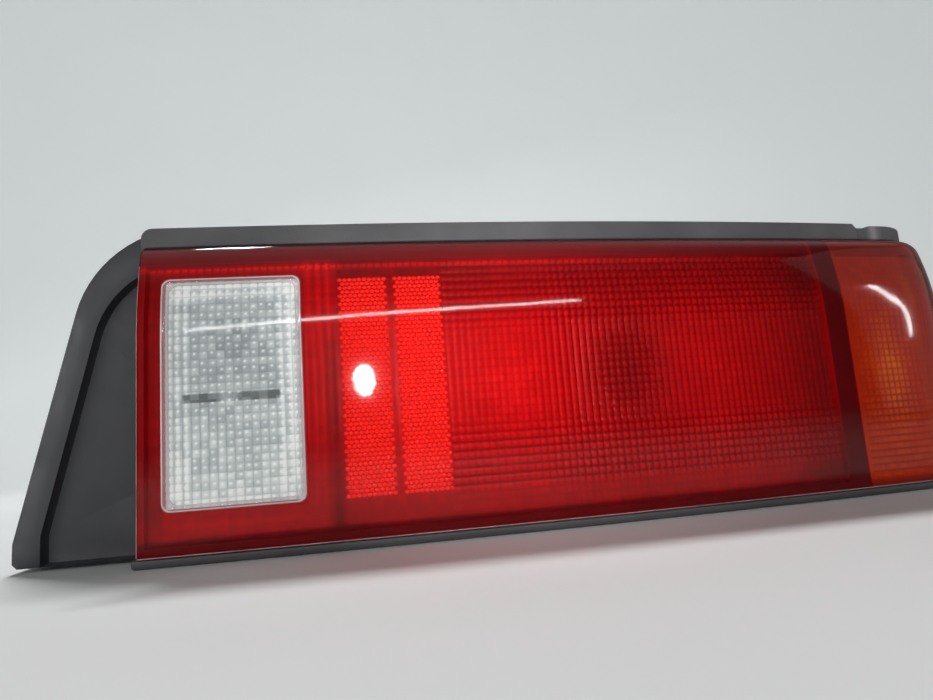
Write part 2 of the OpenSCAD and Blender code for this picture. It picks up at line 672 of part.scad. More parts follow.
// End filler: the outline runs up its long edge and over its top sweep to the seal's inboard end
panel_y = band_y + panel_drop;
filler_x1 = case_x0 - fit - 0.1;
filler_top = seal_z1;
top_a = 22;
sweep_end = [seal_x0 - 1, filler_top];
sweep_c = sweep_end + sweep_r * [sin(top_a), -cos(top_a)];
foot_r = 2;
function unit(a) = [cos(a), sin(a)];
// The long edge meets the sweep where both run at edge_a, and runs down to the top of the upright foot
filler_z0 = seal_z0 + 2;
edge_top = sweep_c + sweep_r * [-sin(edge_a), cos(edge_a)];
foot_top = edge_top - unit(edge_a) * (edge_top.y - filler_z0 - foot_h) / sin(edge_a);
function filler_outline(w) = concat(
    [[filler_x1, filler_z0 + w]],
    [[foot_top.x + w + foot_r, filler_z0 + w], [foot_top.x + w, filler_z0 + w + foot_r]],
    [foot_top + w * [1, 0], foot_top + w * [sin(edge_a), -cos(edge_a)] + unit(edge_a)],
    [for (i = [0:10]) let (a = edge_a + (top_a - edge_a) * i / 10)
        sweep_c + (sweep_r - w) * [-sin(a), cos(a)]],
    [[filler_x1, filler_top - w]]
);
module filler_plan(w) polygon(filler_outline(w));
// The band is wider at the foot, where the ridge runs down nearly upright
module panel_plan(w) intersection() {
    translate([0, -band_w]) filler_plan(band_w + w);
    translate([foot_top.x + 1.35 * band_w + w, seal_z0]) square([beyond - foot_top.x, filler_top - seal_z0]);
}
module end_filler() color([0.17, 0.17, 0.18]) placed() {
    difference() {
        through(band_y, band_y + filler_skirt) filler_plan(0);
        hull() {
            through(band_y - 1, band_y + 0.1) panel_plan(0);
            through(panel_y - 0.1, panel_y) panel_plan(1.2);
        }
        through(panel_y + filler_wall, band_y + filler_skirt + 1) filler_plan(filler_wall);
        through(band_y + filler_wall, panel_y + filler_wall + 1) difference() {
            filler_plan(filler_wall);
            panel_plan(-filler_wall);
        }
        for (z = screw_zs) round_y(0, band_y, panel_y + filler_wall + 1, z, screw_r + fit);
    }
}

// Filler screws: pan heads behind the filler, shanks in the housing's bosses
module filler_screws() color([0.5, 0.5, 0.5]) placed() for (z = screw_zs) {
    round_y(0, panel_y + filler_wall, panel_y + filler_wall + 2, z, 2.1 * screw_r);
    round_y(0, flange_back + 2, panel_y + filler_wall + 1, z, screw_r);
}

lens_red();
lens_amber();
reverse_window();
reflex_panel_inboard();
reflex_panel_outboard();
rim_seal();
corner_seal();
lens_bond();
housing();
reverse_reflector();
stop_reflector();
turn_reflector();
reverse_bulb_glass();
reverse_bulb_cap();
stop_bulb_glass();
stop_bulb_cap();
turn_bulb_glass();
turn_bulb_cap();
reverse_bulb_holder();
stop_bulb_holder();
turn_bulb_holder();
reverse_holder_seal();
stop_holder_seal();
turn_holder_seal();
reverse_terminals();
stop_terminals();
turn_terminals();
mounting_gasket();
mounting_studs();
vent_cap();
end_filler();
filler_screws();
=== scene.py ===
# %% [markdown]
# A car's wrap-around tail lamp, dressed for the studio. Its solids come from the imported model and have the
# right size and place, so they stay where they are. What this lesson adds is what the eye goes to first:
# clear coloured skins over prisms, reflex cells and soft rubber edges. Lengths on the lens are in
# millimetres, and one function turns them into metres.

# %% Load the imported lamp
import json
import math

import bmesh
import bpy
import numpy as np
from mathutils import Matrix, Vector


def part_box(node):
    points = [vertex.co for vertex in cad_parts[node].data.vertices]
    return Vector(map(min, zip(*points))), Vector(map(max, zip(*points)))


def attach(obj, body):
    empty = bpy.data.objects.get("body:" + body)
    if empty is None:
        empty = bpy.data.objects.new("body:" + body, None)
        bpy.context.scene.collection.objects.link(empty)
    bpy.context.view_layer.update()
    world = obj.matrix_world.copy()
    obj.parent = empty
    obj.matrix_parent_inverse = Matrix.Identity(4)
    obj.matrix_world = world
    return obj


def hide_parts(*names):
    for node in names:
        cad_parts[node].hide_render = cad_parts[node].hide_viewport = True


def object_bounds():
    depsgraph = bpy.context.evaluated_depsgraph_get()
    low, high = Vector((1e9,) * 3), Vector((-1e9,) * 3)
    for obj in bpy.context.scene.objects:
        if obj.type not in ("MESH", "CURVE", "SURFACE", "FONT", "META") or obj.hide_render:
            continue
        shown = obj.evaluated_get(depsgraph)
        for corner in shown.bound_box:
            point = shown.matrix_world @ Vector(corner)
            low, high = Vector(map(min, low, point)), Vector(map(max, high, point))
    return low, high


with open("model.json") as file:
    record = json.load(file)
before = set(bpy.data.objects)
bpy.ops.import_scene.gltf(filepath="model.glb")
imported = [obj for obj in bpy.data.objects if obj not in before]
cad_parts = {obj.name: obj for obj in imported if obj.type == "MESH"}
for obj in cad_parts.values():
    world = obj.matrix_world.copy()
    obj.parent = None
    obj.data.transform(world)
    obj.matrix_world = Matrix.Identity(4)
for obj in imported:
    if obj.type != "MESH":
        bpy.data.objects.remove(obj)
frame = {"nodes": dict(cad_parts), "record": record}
cad_low, cad_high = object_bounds()
nodes = frame["nodes"]
print("the solid lamp measures", [round(v, 4) for v in cad_high - cad_low], "m")

# %% [markdown]
# The moulding tool of a lens works from a plan line: a very flat arc for the face, a tight arc round the
# corner, and a straight side. All coloured parts and both seals follow it, so it comes first. The line
# starts at the lower inboard corner of the face, which is read off the red lens's box, so nothing has to
# be fitted by eye.

# %% Sizes of the lens
MM = 0.001
FACE_R = 2550.0
CORNER_X = 385.0
CORNER_R = 45.0
SIDE_A = math.radians(86.5)
SIDE_LEN = 46.0
LENS_X0 = -1.3
LENS_H = 132.5
LENS_WALL = 2.8
SPLIT_X = 338.6
SKIRT = 15.0
CORNER_A = math.asin(CORNER_X / FACE_R)
CORNER_S = CORNER_X + CORNER_R * (SIDE_A - CORNER_A)
END_S = CORNER_S + SIDE_LEN

red_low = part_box("lens_red")[0]
ZERO = np.array([red_low.x / MM - LENS_X0, red_low.y / MM, red_low.z / MM])
print("plan zero in the lamp's frame:", ZERO.round(3))

# %% [markdown]
# A place on the lens is named as on a tape laid along it: how far along, how deep behind the face, and how
# high. That makes a strip round the corner as simple as a straight one.

# %% From places along the lens to points
def stations(s):
    """Points of the plan line at the places s, and the direction into the lamp at each."""
    s = np.asarray(s, float)
    turn = np.clip((s - CORNER_X) / CORNER_R, 0, SIDE_A - CORNER_A)
    angle = np.arcsin(np.minimum(s, CORNER_X) / FACE_R) + turn
    inward = np.stack([-np.sin(angle), np.cos(angle)], axis=-1)
    along = np.stack([np.cos(angle), np.sin(angle)], axis=-1)
    corner_in = np.array([-math.sin(CORNER_A), math.cos(CORNER_A)])
    corner = FACE_R * np.array([math.sin(CORNER_A), 1 - math.cos(CORNER_A)])
    centre = corner + CORNER_R * corner_in
    on_face = np.stack([FACE_R * np.sin(angle), FACE_R * (1 - np.cos(angle))], axis=-1)
    past = np.maximum(s - CORNER_S, 0)[..., None]
    on_turn = centre - CORNER_R * inward + past * along
    return np.where((s > CORNER_X)[..., None], on_turn, on_face), inward


def place(s, depth, z):
    """Points in metres, at the places s along the lens, that far behind its face, and that high."""
    s, depth, z = np.broadcast_arrays(np.asarray(s, float), depth, z)
    point, inward = stations(s)
    plan = point + depth[..., None] * inward
    return (np.stack([plan[..., 0], plan[..., 1], z], axis=-1) + ZERO) * MM


print("the plan line ends at", place(END_S, 0, 0).round(4), "m")

# %% [markdown]
# Seen from the side, the lens is upright up to two thirds of its height, then leans back in a crown, and
# ends in a rounded top edge. A skin at some depth inside the plastic keeps the same centres with smaller
# radii, so one function gives the outer face, the inner wall, and the line that the prisms stand on.

# %% The lens's upright section
CROWN_Z, CROWN_R = 88.0, 160.0
TOP_R = 9.0
EDGE_R, EDGE_R_LEAST = 1.2, 0.2
CROWN_END = math.asin((LENS_H - CROWN_Z - TOP_R) / (CROWN_R - TOP_R))
TOP_C = np.array([CROWN_R - (CROWN_R - TOP_R) * math.cos(CROWN_END), LENS_H - TOP_R])


def skin_depth(z, t):
    """Depth of the skin that lies t inside the face, at the heights z."""
    up = np.clip(np.asarray(z, float) - CROWN_Z, 0, None)
    return CROWN_R - np.sqrt((CROWN_R - t) ** 2 - up**2)


def section(t, heights=()):
    """The skin t inside the face as (depth, height), from the lower skirt to the upper one.

    The heights are extra ones on the front, where something begins or ends.
    """
    r = max(EDGE_R - t, EDGE_R_LEAST)
    top_z = CROWN_Z + (CROWN_R - t) * math.sin(CROWN_END)
    low_turn = np.linspace(1.5, 1.0, 6) * math.pi
    low = [(t + r + r * math.cos(a), t + r + r * math.sin(a)) for a in low_turn]
    upright = np.linspace(t + r, CROWN_Z, 6)
    crown = np.linspace(CROWN_Z, top_z, 16)
    front_z = np.unique(np.concatenate([upright, crown, heights]).round(4))[1:]
    front = [(float(skin_depth(z, t)), z) for z in front_z if z <= top_z + MM]
    top_turn = np.linspace(CROWN_END, math.pi / 2, 12)[1:]
    edge = [
        (TOP_C[0] - (TOP_R - t) * math.cos(a), TOP_C[1] + (TOP_R - t) * math.sin(a)) for a in top_turn
    ]
    return np.array([(SKIRT, t), *low, *front, *edge, (SKIRT, LENS_H - t)])


print("the crown leans back by", round(math.degrees(CROWN_END), 1), "degrees at the top")

# %% [markdown]
# Meshes are written straight from arrays: that is quicker than cutting primitives, and prisms come out
# exactly on their pitch. Sharp edges are marked by their angle, so a prism keeps its ridge while a rubber
# edge stays soft. Numbers that a material needs at each point are stored on the mesh.

# %% One piece of the lamp
def in_scene(data):
    """A mesh, light or camera as an object of its own name."""
    new = bpy.data.objects.new(data.name, data)
    bpy.context.scene.collection.objects.link(new)
    return new


def lamp_piece(mesh, replaces):
    """The mesh as a piece of the lamp and the solids that it stands for."""
    piece = in_scene(mesh)
    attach(piece, "root")
    if replaces:
        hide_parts(*replaces)
    print(mesh.name, "has", len(mesh.polygons), "faces")


def new_piece(name, points, faces, material, slot, replaces=(), sharp=30, fields=None):
    """A piece from points in metres and faces, with fields of one number a point for its material."""
    mesh = bpy.data.meshes.new(name)
    mesh.from_pydata(np.asarray(points).tolist(), [], faces)
    mesh.polygons.foreach_set("use_smooth", [True] * len(mesh.polygons))
    mesh.set_sharp_from_angle(angle=math.radians(sharp))
    for field, values in (fields or {}).items():
        attribute = mesh.attributes.new(field, "FLOAT", "POINT")
        attribute.data.foreach_set("value", np.ravel(values).astype(np.float32))
    mesh.materials.append(material)
    lamp_piece(mesh, replaces)


# %% [markdown]
# Nearly every piece is a grid of points or a closed outline swept along the lens, so a few helpers write
# the faces for both.

# %% Grids and swept outlines
def grid_faces(rows, columns, closed=False):
    """Quads of a grid whose points run along the columns. closed joins the last column to the first."""
    wide = columns if closed else columns - 1
    i, j = np.meshgrid(np.arange(rows - 1), np.arange(wide), indexing="ij")
    a = i * columns + j
    b = i * columns + (j + 1) % columns
    return np.stack([a, a + columns, b + columns, b], axis=-1).reshape(-1, 4).tolist()


def swept(s_values, depth, z):
    """A closed outline of depths and heights, swept along the places s, with its two ends shut."""
    points = place(np.asarray(s_values, float)[:, None], depth, z)
    rows, columns = points.shape[:2]
    faces = grid_faces(rows, columns, closed=True)
    faces.append(list(range(columns)))
    faces.append(list(range((rows - 1) * columns, rows * columns))[::-1])
    return points.reshape(-1, 3), faces


def joined(parts):
    """Several pairs of points and faces as one pair."""
    points, faces, first = [], [], 0
    for p, f in parts:
        points.append(p)
        faces += [[first + i for i in face] for face in f]
        first += len(p)
    return np.concatenate(points), faces


def line_places(s0, s1, step_face=16.0, step_turn=3.0, extra=()):
    """Places along the lens from s0 to s1, closer together round the corner."""
    face = np.arange(s0, min(s1, CORNER_X), step_face)
    turn = np.arange(CORNER_X, min(s1, CORNER_S), step_turn) if s1 > CORNER_X else np.array([])
    side = np.linspace(max(CORNER_S, s0), s1, 4) if s1 > CORNER_S else np.array([s1])
    return np.unique(np.concatenate([face, turn[turn > s0], side, extra]).round(4))


print("a sweep of the whole lens takes", len(line_places(LENS_X0, END_S)), "places")

# %% [markdown]
# The camera stands close, a little left of the middle and low, and is turned by about four degrees. The
# focal length follows from how fast the lamp shrinks towards its far end.

# %% Camera
CAMERA_PLACE = Vector((-0.09903, -0.32569, -0.02726))
CAMERA_RIGHT = Vector((0.99100, -0.11301, -0.07171))
CAMERA_UP = Vector((0.05488, -0.14554, 0.98783))
FOCAL_PX = 635.3
PICTURE_W = 933
camera_data = bpy.data.cameras.new("camera")
camera_data.sensor_width = 36
camera_data.lens = FOCAL_PX / PICTURE_W * camera_data.sensor_width
camera_data.clip_start = 0.01
camera = in_scene(camera_data)
axes = Matrix((CAMERA_RIGHT, CAMERA_UP, CAMERA_RIGHT.cross(CAMERA_UP))).transposed()
camera.matrix_world = Matrix.Translation(CAMERA_PLACE) @ axes.to_4x4()
bpy.context.scene.camera = camera
print("focal length", round(camera_data.lens, 2), "mm")

# %% [markdown]
# A finish starts from a Principled shader with plain values. Nodes are added where a value should vary,
# each by one call to a helper.

# %% Shader helpers
def finish(name, colour, roughness, **plain):
    """A Principled material. The plain values are set on the shader's own sockets."""
    material = bpy.data.materials.new(name)
    material.use_nodes = True
    shader = material.node_tree.nodes["Principled BSDF"]
    shader.inputs["Base Color"].default_value = (*colour, 1)
    shader.inputs["Roughness"].default_value = roughness
    for socket, value in plain.items():
        shader.inputs[socket.replace("_", " ")].default_value = value
    return material


def node(material, kind, links=(), **values):
    """A node of that kind. links are pairs of its input and an output. values set inputs or fields."""
    new = material.node_tree.nodes.new("ShaderNode" + kind)
    for key, value in values.items():
        if key in new.inputs.keys():
            new.inputs[key].default_value = value
        else:
            setattr(new, key, value)
    for socket, output in links:
        material.node_tree.links.new(new.inputs[socket], output)
    return new


def sum_of(material, operation, links, **plain):
    """The output of a Math node. plain gives the inputs that aren't linked, as in_0, in_1 and in_2."""
    new = node(material, "Math", links, operation=operation)
    for key, value in plain.items():
        new.inputs[int(key[-1])].default_value = value
    return new.outputs[0]


def span_of(material, value, start, end, low, high, **fields):
    """The value taken from the span start to end onto the span low to high."""
    new = node(material, "MapRange", [("Value", value)], **fields)
    for socket, number in zip(("From Min", "From Max", "To Min", "To Max"), (start, end, low, high)):
        new.inputs[socket].default_value = number
    return new.outputs[0]


def feed(material, socket, output):
    """Link that output to the material's shader."""
    material.node_tree.links.new(material.node_tree.nodes["Principled BSDF"].inputs[socket], output)


def blended(material, factor, colour, other):
    """The colour output, blended towards another plain colour by the factor."""
    mix = node(material, "Mix", [("Factor", factor), (6, colour)], data_type="RGBA")
    mix.inputs[7].default_value = (*other, 1)
    return mix.outputs[2]


def field(material, name):
    """A number that the mesh carries at each point."""
    return node(material, "Attribute", attribute_name=name).outputs["Fac"]


def ramp(material, factor, stops):
    """A colour ramp on that output. stops are pairs of a place from 0 to 1 and a colour."""
    new = node(material, "ValToRGB", [("Fac", factor)])
    elements = new.color_ramp.elements
    while len(elements) < len(stops):
        elements.new(0.5)
    for element, (where, colour) in zip(elements, stops):
        element.position = where
        element.color = (*colour, 1)
    return new.outputs["Color"]


print("shader helpers ready")

# %% [markdown]
# No real surface is one flat colour. Moulded plastic has faint clouds of tone, its gloss changes where it
# was handled, and it has a fine grain. Noise in the lamp's own space gives all three without an image, and
# stays put when the view changes.

# %% Clouds, gloss and grain
NOISE_SPAN = (0.3, 0.7)


def noise(material, scale, detail=3.0):
    """Noise that keeps to the lamp. The scale is in waves a metre."""
    where = node(material, "TexCoord").outputs["Object"]
    cloud = node(material, "TexNoise", [("Vector", where)], Scale=scale, Detail=detail)
    return cloud.outputs["Fac"]


def clouds(material, scale, dark, light):
    """A colour that drifts between dark and light."""
    return ramp(material, noise(material, scale), list(zip(NOISE_SPAN, (dark, light))))


def mottled(material, *tones):
    """A base colour of clouds."""
    feed(material, "Base Color", clouds(material, *tones))


def uneven_gloss(material, scale, low, high):
    """Roughness that drifts between low and high."""
    feed(material, "Roughness", span_of(material, noise(material, scale, 5.0), *NOISE_SPAN, low, high))


def grained(material, scale, height):
    """Fine relief of that height in metres, as a moulded or cast surface has."""
    bump = node(material, "Bump", [("Height", noise(material, scale, 4.0))], Distance=height)
    feed(material, "Normal", bump.outputs["Normal"])


print("noise is used between", *NOISE_SPAN)

# %% [markdown]
# Under the coloured skin lies the optic: thousands of small cushions that spread the lamp's light. On the
# real lens they are the inner face of the same moulding. Here they are a sheet of their own, so the skin
# can stay a simple clear shell. Each point carries how much light it gives back, painted into its
# colour, and how strong the painted shade is in the grooves between cushions. A slight glow stands for
# the light that real prisms throw back.

# %% Optic finishes
COLOUR_DRIFT = 0.16


def optic(name, stops, groove_shade_colour, roughness, glow):
    """The back of a lens: colour by the field shade, with painted shade in the grooves."""
    material = finish(name, stops[-1][1], roughness, Emission_Strength=glow)
    cloud = noise(material, 60.0)
    drift = sum_of(material, "MULTIPLY_ADD", [(0, cloud)], in_1=COLOUR_DRIFT, in_2=-COLOUR_DRIFT / 2)
    shade = sum_of(material, "ADD", [(0, field(material, "shade")), (1, drift)])
    # The grooves between cushions get painted shade: the colour is blended towards a dark one there.
    colour = blended(material, field(material, "groove"), ramp(material, shade, stops), groove_shade_colour)
    feed(material, "Base Color", colour)
    feed(material, "Emission Color", colour)
    uneven_gloss(material, 300.0, roughness - 0.06, roughness + 0.08)
    return material


RED_STOPS = [
    (0.0, (0.10, 0.001, 0.010)),
    (0.2, (0.18, 0.001, 0.008)),
    (0.5, (0.39, 0.001, 0.010)),
    (0.8, (0.62, 0.002, 0.014)),
    (1.0, (0.88, 0.04, 0.05)),
]
AMBER_STOPS = [
    (0.0, (0.14, 0.004, 0.002)),
    (0.3, (0.36, 0.012, 0.001)),
    (0.6, (0.54, 0.034, 0.002)),
    (0.8, (0.68, 0.100, 0.003)),
    (1.0, (0.88, 0.27, 0.02)),
]
CLEAR_STOPS = [
    (0.0, (0.15, 0.16, 0.16)),
    (0.35, (0.46, 0.49, 0.50)),
    (0.65, (0.66, 0.69, 0.68)),
    (1.0, (0.96, 0.96, 0.94)),
]
red_optic = optic("red_optic", RED_STOPS, (0.13, 0.0005, 0.006), 0.36, 0.12)
amber_optic = optic("amber_optic", AMBER_STOPS, (0.26, 0.014, 0.002), 0.36, 0.12)
clear_optic = optic("clear_optic", CLEAR_STOPS, (0.22, 0.24, 0.25), 0.2, 0.22)
print("three optics ready")

# %% [markdown]
# The skin is clear acrylic, dyed in the mass. It should tint what lies behind and carry reflections. A
# Fresnel mix of a tinted transparent shader and a gloss does both, and is quick to render, because no
# light has to be bent. The slow waves of a moulded face bend the reflections a little.

# %% Clear skins
SKIN_IOR = 1.34
SKIN_ROUGHNESS = 0.055
WAVE_SCALE, WAVE_HEIGHT = 26.0, 0.00014


def clear_skin(name, tint):
    """A thin tinted shell with a gloss that grows towards its edges."""
    material = bpy.data.materials.new(name)
    material.use_nodes = True
    tree = material.node_tree
    tree.nodes.remove(tree.nodes["Principled BSDF"])
    waves = noise(material, WAVE_SCALE, 1.0)
    tilt = node(material, "Bump", [("Height", waves)], Distance=WAVE_HEIGHT).outputs["Normal"]
    facing = node(material, "Fresnel", [("Normal", tilt)], IOR=SKIN_IOR)
    through = node(material, "BsdfTransparent", Color=(*tint, 1))
    gloss = node(material, "BsdfGlossy", [("Normal", tilt)], Roughness=SKIN_ROUGHNESS)
    mix = [(0, facing.outputs[0]), (1, through.outputs[0]), (2, gloss.outputs[0])]
    both = node(material, "MixShader", mix)
    tree.links.new(tree.nodes["Material Output"].inputs["Surface"], both.outputs[0])
    return material


red_skin = clear_skin("red_skin", (0.97, 0.35, 0.35))
amber_skin = clear_skin("amber_skin", (0.98, 0.72, 0.45))
clear_pane = clear_skin("clear_pane", (0.97, 0.98, 0.98))
print("three skins ready")

# %% [markdown]
# Cushions stand at a fixed pitch both ways. Where the real tool has only upright flutes or level ribs, one
# of the two weights is small. How bright and how deep the optic is at a place is a plain function, put
# together from soft steps and hills.

# %% Steps, hills and cushions
def smooth(low, high, value):
    """0 below low, 1 above high, and an even rise between. low may be the larger one, for a fall."""
    t = np.clip((value - low) / (high - low), 0, 1)
    return t * t * (3 - 2 * t)


def hill(value, centre, width):
    """1 at the centre, falling off evenly on both sides."""
    return np.exp(-(((value - centre) / width) ** 2))


SIDE_STEP = 0.9


def within(value, span):
    """1 inside the span, 0 outside, with one short step at each end."""
    return smooth(span[0], span[0] + SIDE_STEP, value) * smooth(span[1], span[1] - SIDE_STEP, value)


def cushion_places(start, end, pitch, steps):
    """Places in whole cushions from start to end, and how far from a middle each lies, from -1 to 1."""
    count = max(round((end - start) / pitch), 1)
    u = np.arange(count * steps + 1) / steps
    return start + u * (end - start) / count, 2 * (u - np.floor(u)) - 1


def dips_and_groove_shade(flutes, ribs, s_off, z_off):
    """How far each point falls away from its cushion's top, and its painted shade in the grooves."""
    s_off, z_off = s_off[:, None], z_off[None, :]
    groove = np.maximum(flutes * np.abs(s_off) ** 5, ribs * np.abs(z_off) ** 5)
    return flutes * s_off**2 + ribs * z_off**2, groove


print("steps, hills and cushions ready")

# %% [markdown]
# Each lens optic is one closed sheet, whose front is the inner wall of the lens with the cushions on it.
# Where no prism stands, the sheet rises close under the skin, as the lens is solid plastic there. Each
# cushion also gets a shade of its own, as no two catch the light alike, and a painted highlight in its
# middle.

# %% Optic sheets
RIM_T = 0.5
PRISM_Z = (4.0, 121.8)
CUSHION_STEPS, CUSHION_H = 4, 0.6
CELL_SPREAD, CELL_HIGHLIGHT = 0.05, 0.16
cell_dice = np.random.default_rng(5)


def per_cushion(low, high, s_count, z_count, steps):
    """One random number a cushion, as a grid over all its points."""
    numbers = cell_dice.uniform(low, high, (s_count // steps + 1, z_count // steps + 1))
    return numbers[np.arange(s_count) // steps][:, np.arange(z_count) // steps]


def optic_sheet(name, s_lens, s_prism, pitch, look, material, slot, replaced):
    """A lens's inner wall, with cushions at the places s_prism. look gives (flutes, ribs, shade)."""
    s_in, s_off = cushion_places(*s_prism, pitch[0], CUSHION_STEPS)
    before = line_places(s_lens[0], s_prism[0])[:-1]
    after = line_places(s_prism[1], s_lens[1], extra=[s_prism[1] + SIDE_STEP])[1:]
    s_all = np.concatenate([before, s_in, after])
    s_off = np.pad(s_off, (len(before), len(after)))

    z_in, z_off = cushion_places(*PRISM_Z, pitch[1], CUSHION_STEPS)
    rim = section(RIM_T)
    low = rim[rim[:, 1] < PRISM_Z[0]]
    high = rim[rim[:, 1] > PRISM_Z[1]]
    z_all = np.concatenate([low[:, 1], z_in, high[:, 1]])
    z_off = np.pad(z_off, (len(low), len(high)))

    s_grid, z_grid = np.meshgrid(s_all, z_all, indexing="ij")
    live = within(s_all, s_prism)[:, None] * within(z_all, PRISM_Z)[None, :]
    depth = skin_depth(np.clip(z_grid, 0, PRISM_Z[1]), RIM_T + (LENS_WALL - RIM_T) * live)
    depth[:, : len(low)] = low[:, 0]
    depth[:, -len(high):] = high[:, 0]
    flutes, ribs, shade = look(s_grid, z_grid)
    dips, groove = dips_and_groove_shade(flutes, ribs, s_off, z_off)
    depth += live * CUSHION_H * dips

    uneven = per_cushion(-CELL_SPREAD, CELL_SPREAD, len(s_all), len(z_all), CUSHION_STEPS)
    # Painted highlight: each cushion is lighter towards its middle.
    middle = (1 - s_off[:, None] ** 2) * (1 - z_off[None, :] ** 2) * np.minimum(flutes, ribs)
    shade = np.clip(shade + live * (uneven + CELL_HIGHLIGHT * middle), 0, 1)
    fields = {"shade": shade, "groove": np.clip(live * groove, 0, 1)}
    new_piece(name, *swept(s_all, depth, z_grid), material, slot, (replaced,), 50, fields)


print("prisms stand from", *PRISM_Z, "mm high")

# %% [markdown]
# The red optic was studied region by region. Beside the window stand a few bright flutes. Past the reflex
# panels comes a smooth bright field, then flutes, and round the stop bulb a dark, fine waffle. Ribs run
# along the top and the bottom, and the rim is dark.

# %% Shade of the red optic
WIN_X0, WIN_X1, WIN_Z0, WIN_Z1 = 8.3, 66.5, 17.5, 115.5
REFLEX = [(82.0, 104.2), (106.7, 128.8)]
REFLEX_Z0, REFLEX_Z1 = 17.2, 114.2
STOP_X, STOP_Z = 214.5, 66.5
RED_PRISM_S = (1.6, 326.4)
TOP_RIM = (121.2, 122.4)
DOTS_Z = 119.9


def rim_shaded(shade, z, low_rim, top_value, low_value):
    """The shade, with dark rims along the top and along the bottom."""
    top = smooth(*TOP_RIM, z)
    low = smooth(*low_rim, z)
    shade = shade * (1 - top) + top_value * top
    return shade * (1 - low) + low_value * low


def top_dots(s, z):
    """The row of bright squares along the top, fading outboard."""
    return hill(z, DOTS_Z, 1.3) * (1 - 0.75 * smooth(120, 300, s))


def red_shade(s, z):
    """How much light the red optic gives back, from 0 to 1."""
    main = 0.56 + 0.28 * hill(s, 160, 40) * hill(z, 58, 40)
    main += 0.22 * hill(s, 262, 30) * hill(z, 62, 46)
    main -= 0.34 * hill(s, STOP_X, 17) * hill(z, STOP_Z, 24)
    main -= 0.22 * smooth(90, 114, z)
    main -= 0.26 * smooth(292, 326, s)
    main -= 0.10 * smooth(18, 12, z) * smooth(60, 100, s)

    high = smooth(72, 104, z)
    columns = 0.5 + 0.5 * np.cos((s - 69.0) * 2 * math.pi / 4.4)
    beside = 0.46 + 0.34 * columns * high * smooth(66, 68, s) * smooth(81, 78, s)
    beside += 0.14 * (1 - high) * smooth(77, 73, s) - 0.22 * (1 - high) * hill(s, 79.0, 2.4)
    beside -= 0.06 * smooth(18, 12, z)
    by_window = smooth(83.5, 81.5, s)
    left = smooth(9, 7, s)
    shade = main * (1 - by_window) + beside * by_window
    shade = shade * (1 - left) + left * (0.34 + 0.10 * smooth(18, 12, z))
    shade -= 0.12 * smooth(112.5, 114, z) * smooth(140, 128, s) * smooth(80, 84, s)

    shade += 0.16 * hill(z, 11.5, 1.6) * smooth(6, 14, s) * smooth(80, 55, s)
    shade = rim_shaded(shade + 0.42 * top_dots(s, z), z, (7.0, 5.2), 0.15, 0.07)
    end_rim = smooth(326.5, 327.5, s)
    shade = shade * (1 - end_rim) + 0.03 * end_rim
    shade += 0.4 * hill(s, 326.2, 0.7) * smooth(20, 60, z)
    return np.clip(shade, 0, 1)


print("the stop bulb stands", STOP_X, "mm along and", STOP_Z, "mm up")

# %% [markdown]
# The relief follows the same regions, so the dark waffle round the bulb also has the deepest cushions.

# %% Red optic
def red_look(s, z):
    """Flutes, ribs and shade of the red optic."""
    plain = 1 - 0.8 * smooth(20, 13, z)
    past_reflex = smooth(126, 130, s)
    upright = 0.6 * smooth(160, 190, s) * (1 - 0.35 * smooth(92, 104, z))
    flutes = (0.22 + 0.08 * past_reflex + upright) * plain
    rows = 0.2 + 0.75 * np.maximum(smooth(84, 98, z), smooth(50, 34, z))
    rows = np.maximum(rows, 0.75 * hill(s, STOP_X, 24) * hill(z, STOP_Z, 30))
    ribs = rows * plain * (0.12 + 0.88 * past_reflex)
    dots = top_dots(s, z)
    return np.maximum(flutes, 0.6 * dots), np.maximum(ribs, 0.7 * dots), red_shade(s, z)


HALF_JOINT = 0.15
red_span = (LENS_X0 + RIM_T, SPLIT_X - HALF_JOINT)
optic_sheet(
    "lens_red_optic", red_span, RED_PRISM_S, (3.35, 3.7), red_look, red_optic, "red_lens", "lens_red"
)

# %% [markdown]
# The amber end has the same build: level ribs low down, upright flutes higher up, and a bright patch of
# small squares in front of its bulb. A thin darker line shows along its top and bottom edges.

# %% Amber optic
TURN_X, TURN_Z = 366.0, 61.0


def amber_look(s, z):
    """Flutes, ribs and shade of the amber optic."""
    shade = 0.46 + 0.12 * smooth(40, 20, z) + 0.32 * hill(s, TURN_X, 12) * hill(z, TURN_Z, 26)
    shade += 0.12 * hill(s, TURN_X - 4, 24) * hill(z, 40, 44)
    # Painted shade: darker towards the corner, where the lens turns away from the light.
    shade -= 0.14 * smooth(TURN_X + 14, TURN_X + 24, s) * smooth(30, 60, z)
    shade -= 0.08 * smooth(96, 112, z)
    shade = rim_shaded(shade, z, (4.6, 3.4), 0.16, 0.10)
    flutes = 0.1 + 0.55 * smooth(24, 40, z) * smooth(108, 88, z) * hill(s, TURN_X, 20)
    ribs = 0.16 + 0.5 * smooth(54, 36, z) + 0.3 * hill(s, TURN_X, 16) * smooth(108, 88, z)
    return flutes, ribs, np.clip(shade, 0, 1)


amber_span = (SPLIT_X + HALF_JOINT, END_S - RIM_T)
amber_prism_s = (SPLIT_X + 2.8, END_S - 6.0)
optic_sheet(
    "lens_amber_optic", amber_span, amber_prism_s, (3.5, 3.5), amber_look, amber_optic, "amber_lens",
    "lens_amber",
)

# %% [markdown]
# The two skins are closed shells over their optics. The red one has a pocket where the clear window sits,
# as the real moulding has an opening there. A Boolean would cut it too, but pushing the grid's points back
# keeps the shell closed and its faces even.

# %% Lens skins
POCKET_DEPTH = 13.0
POCKET_INSET = 1.1
STEP = 0.03
pocket_s = [WIN_X0 + POCKET_INSET, WIN_X1 - POCKET_INSET]
pocket_z = [WIN_Z0 + POCKET_INSET, WIN_Z1 - POCKET_INSET]


def edge_pairs(low, high):
    """Two rows close together at each end, for a wall that stands nearly square."""
    return np.array([low - STEP, low, high, high + STEP])


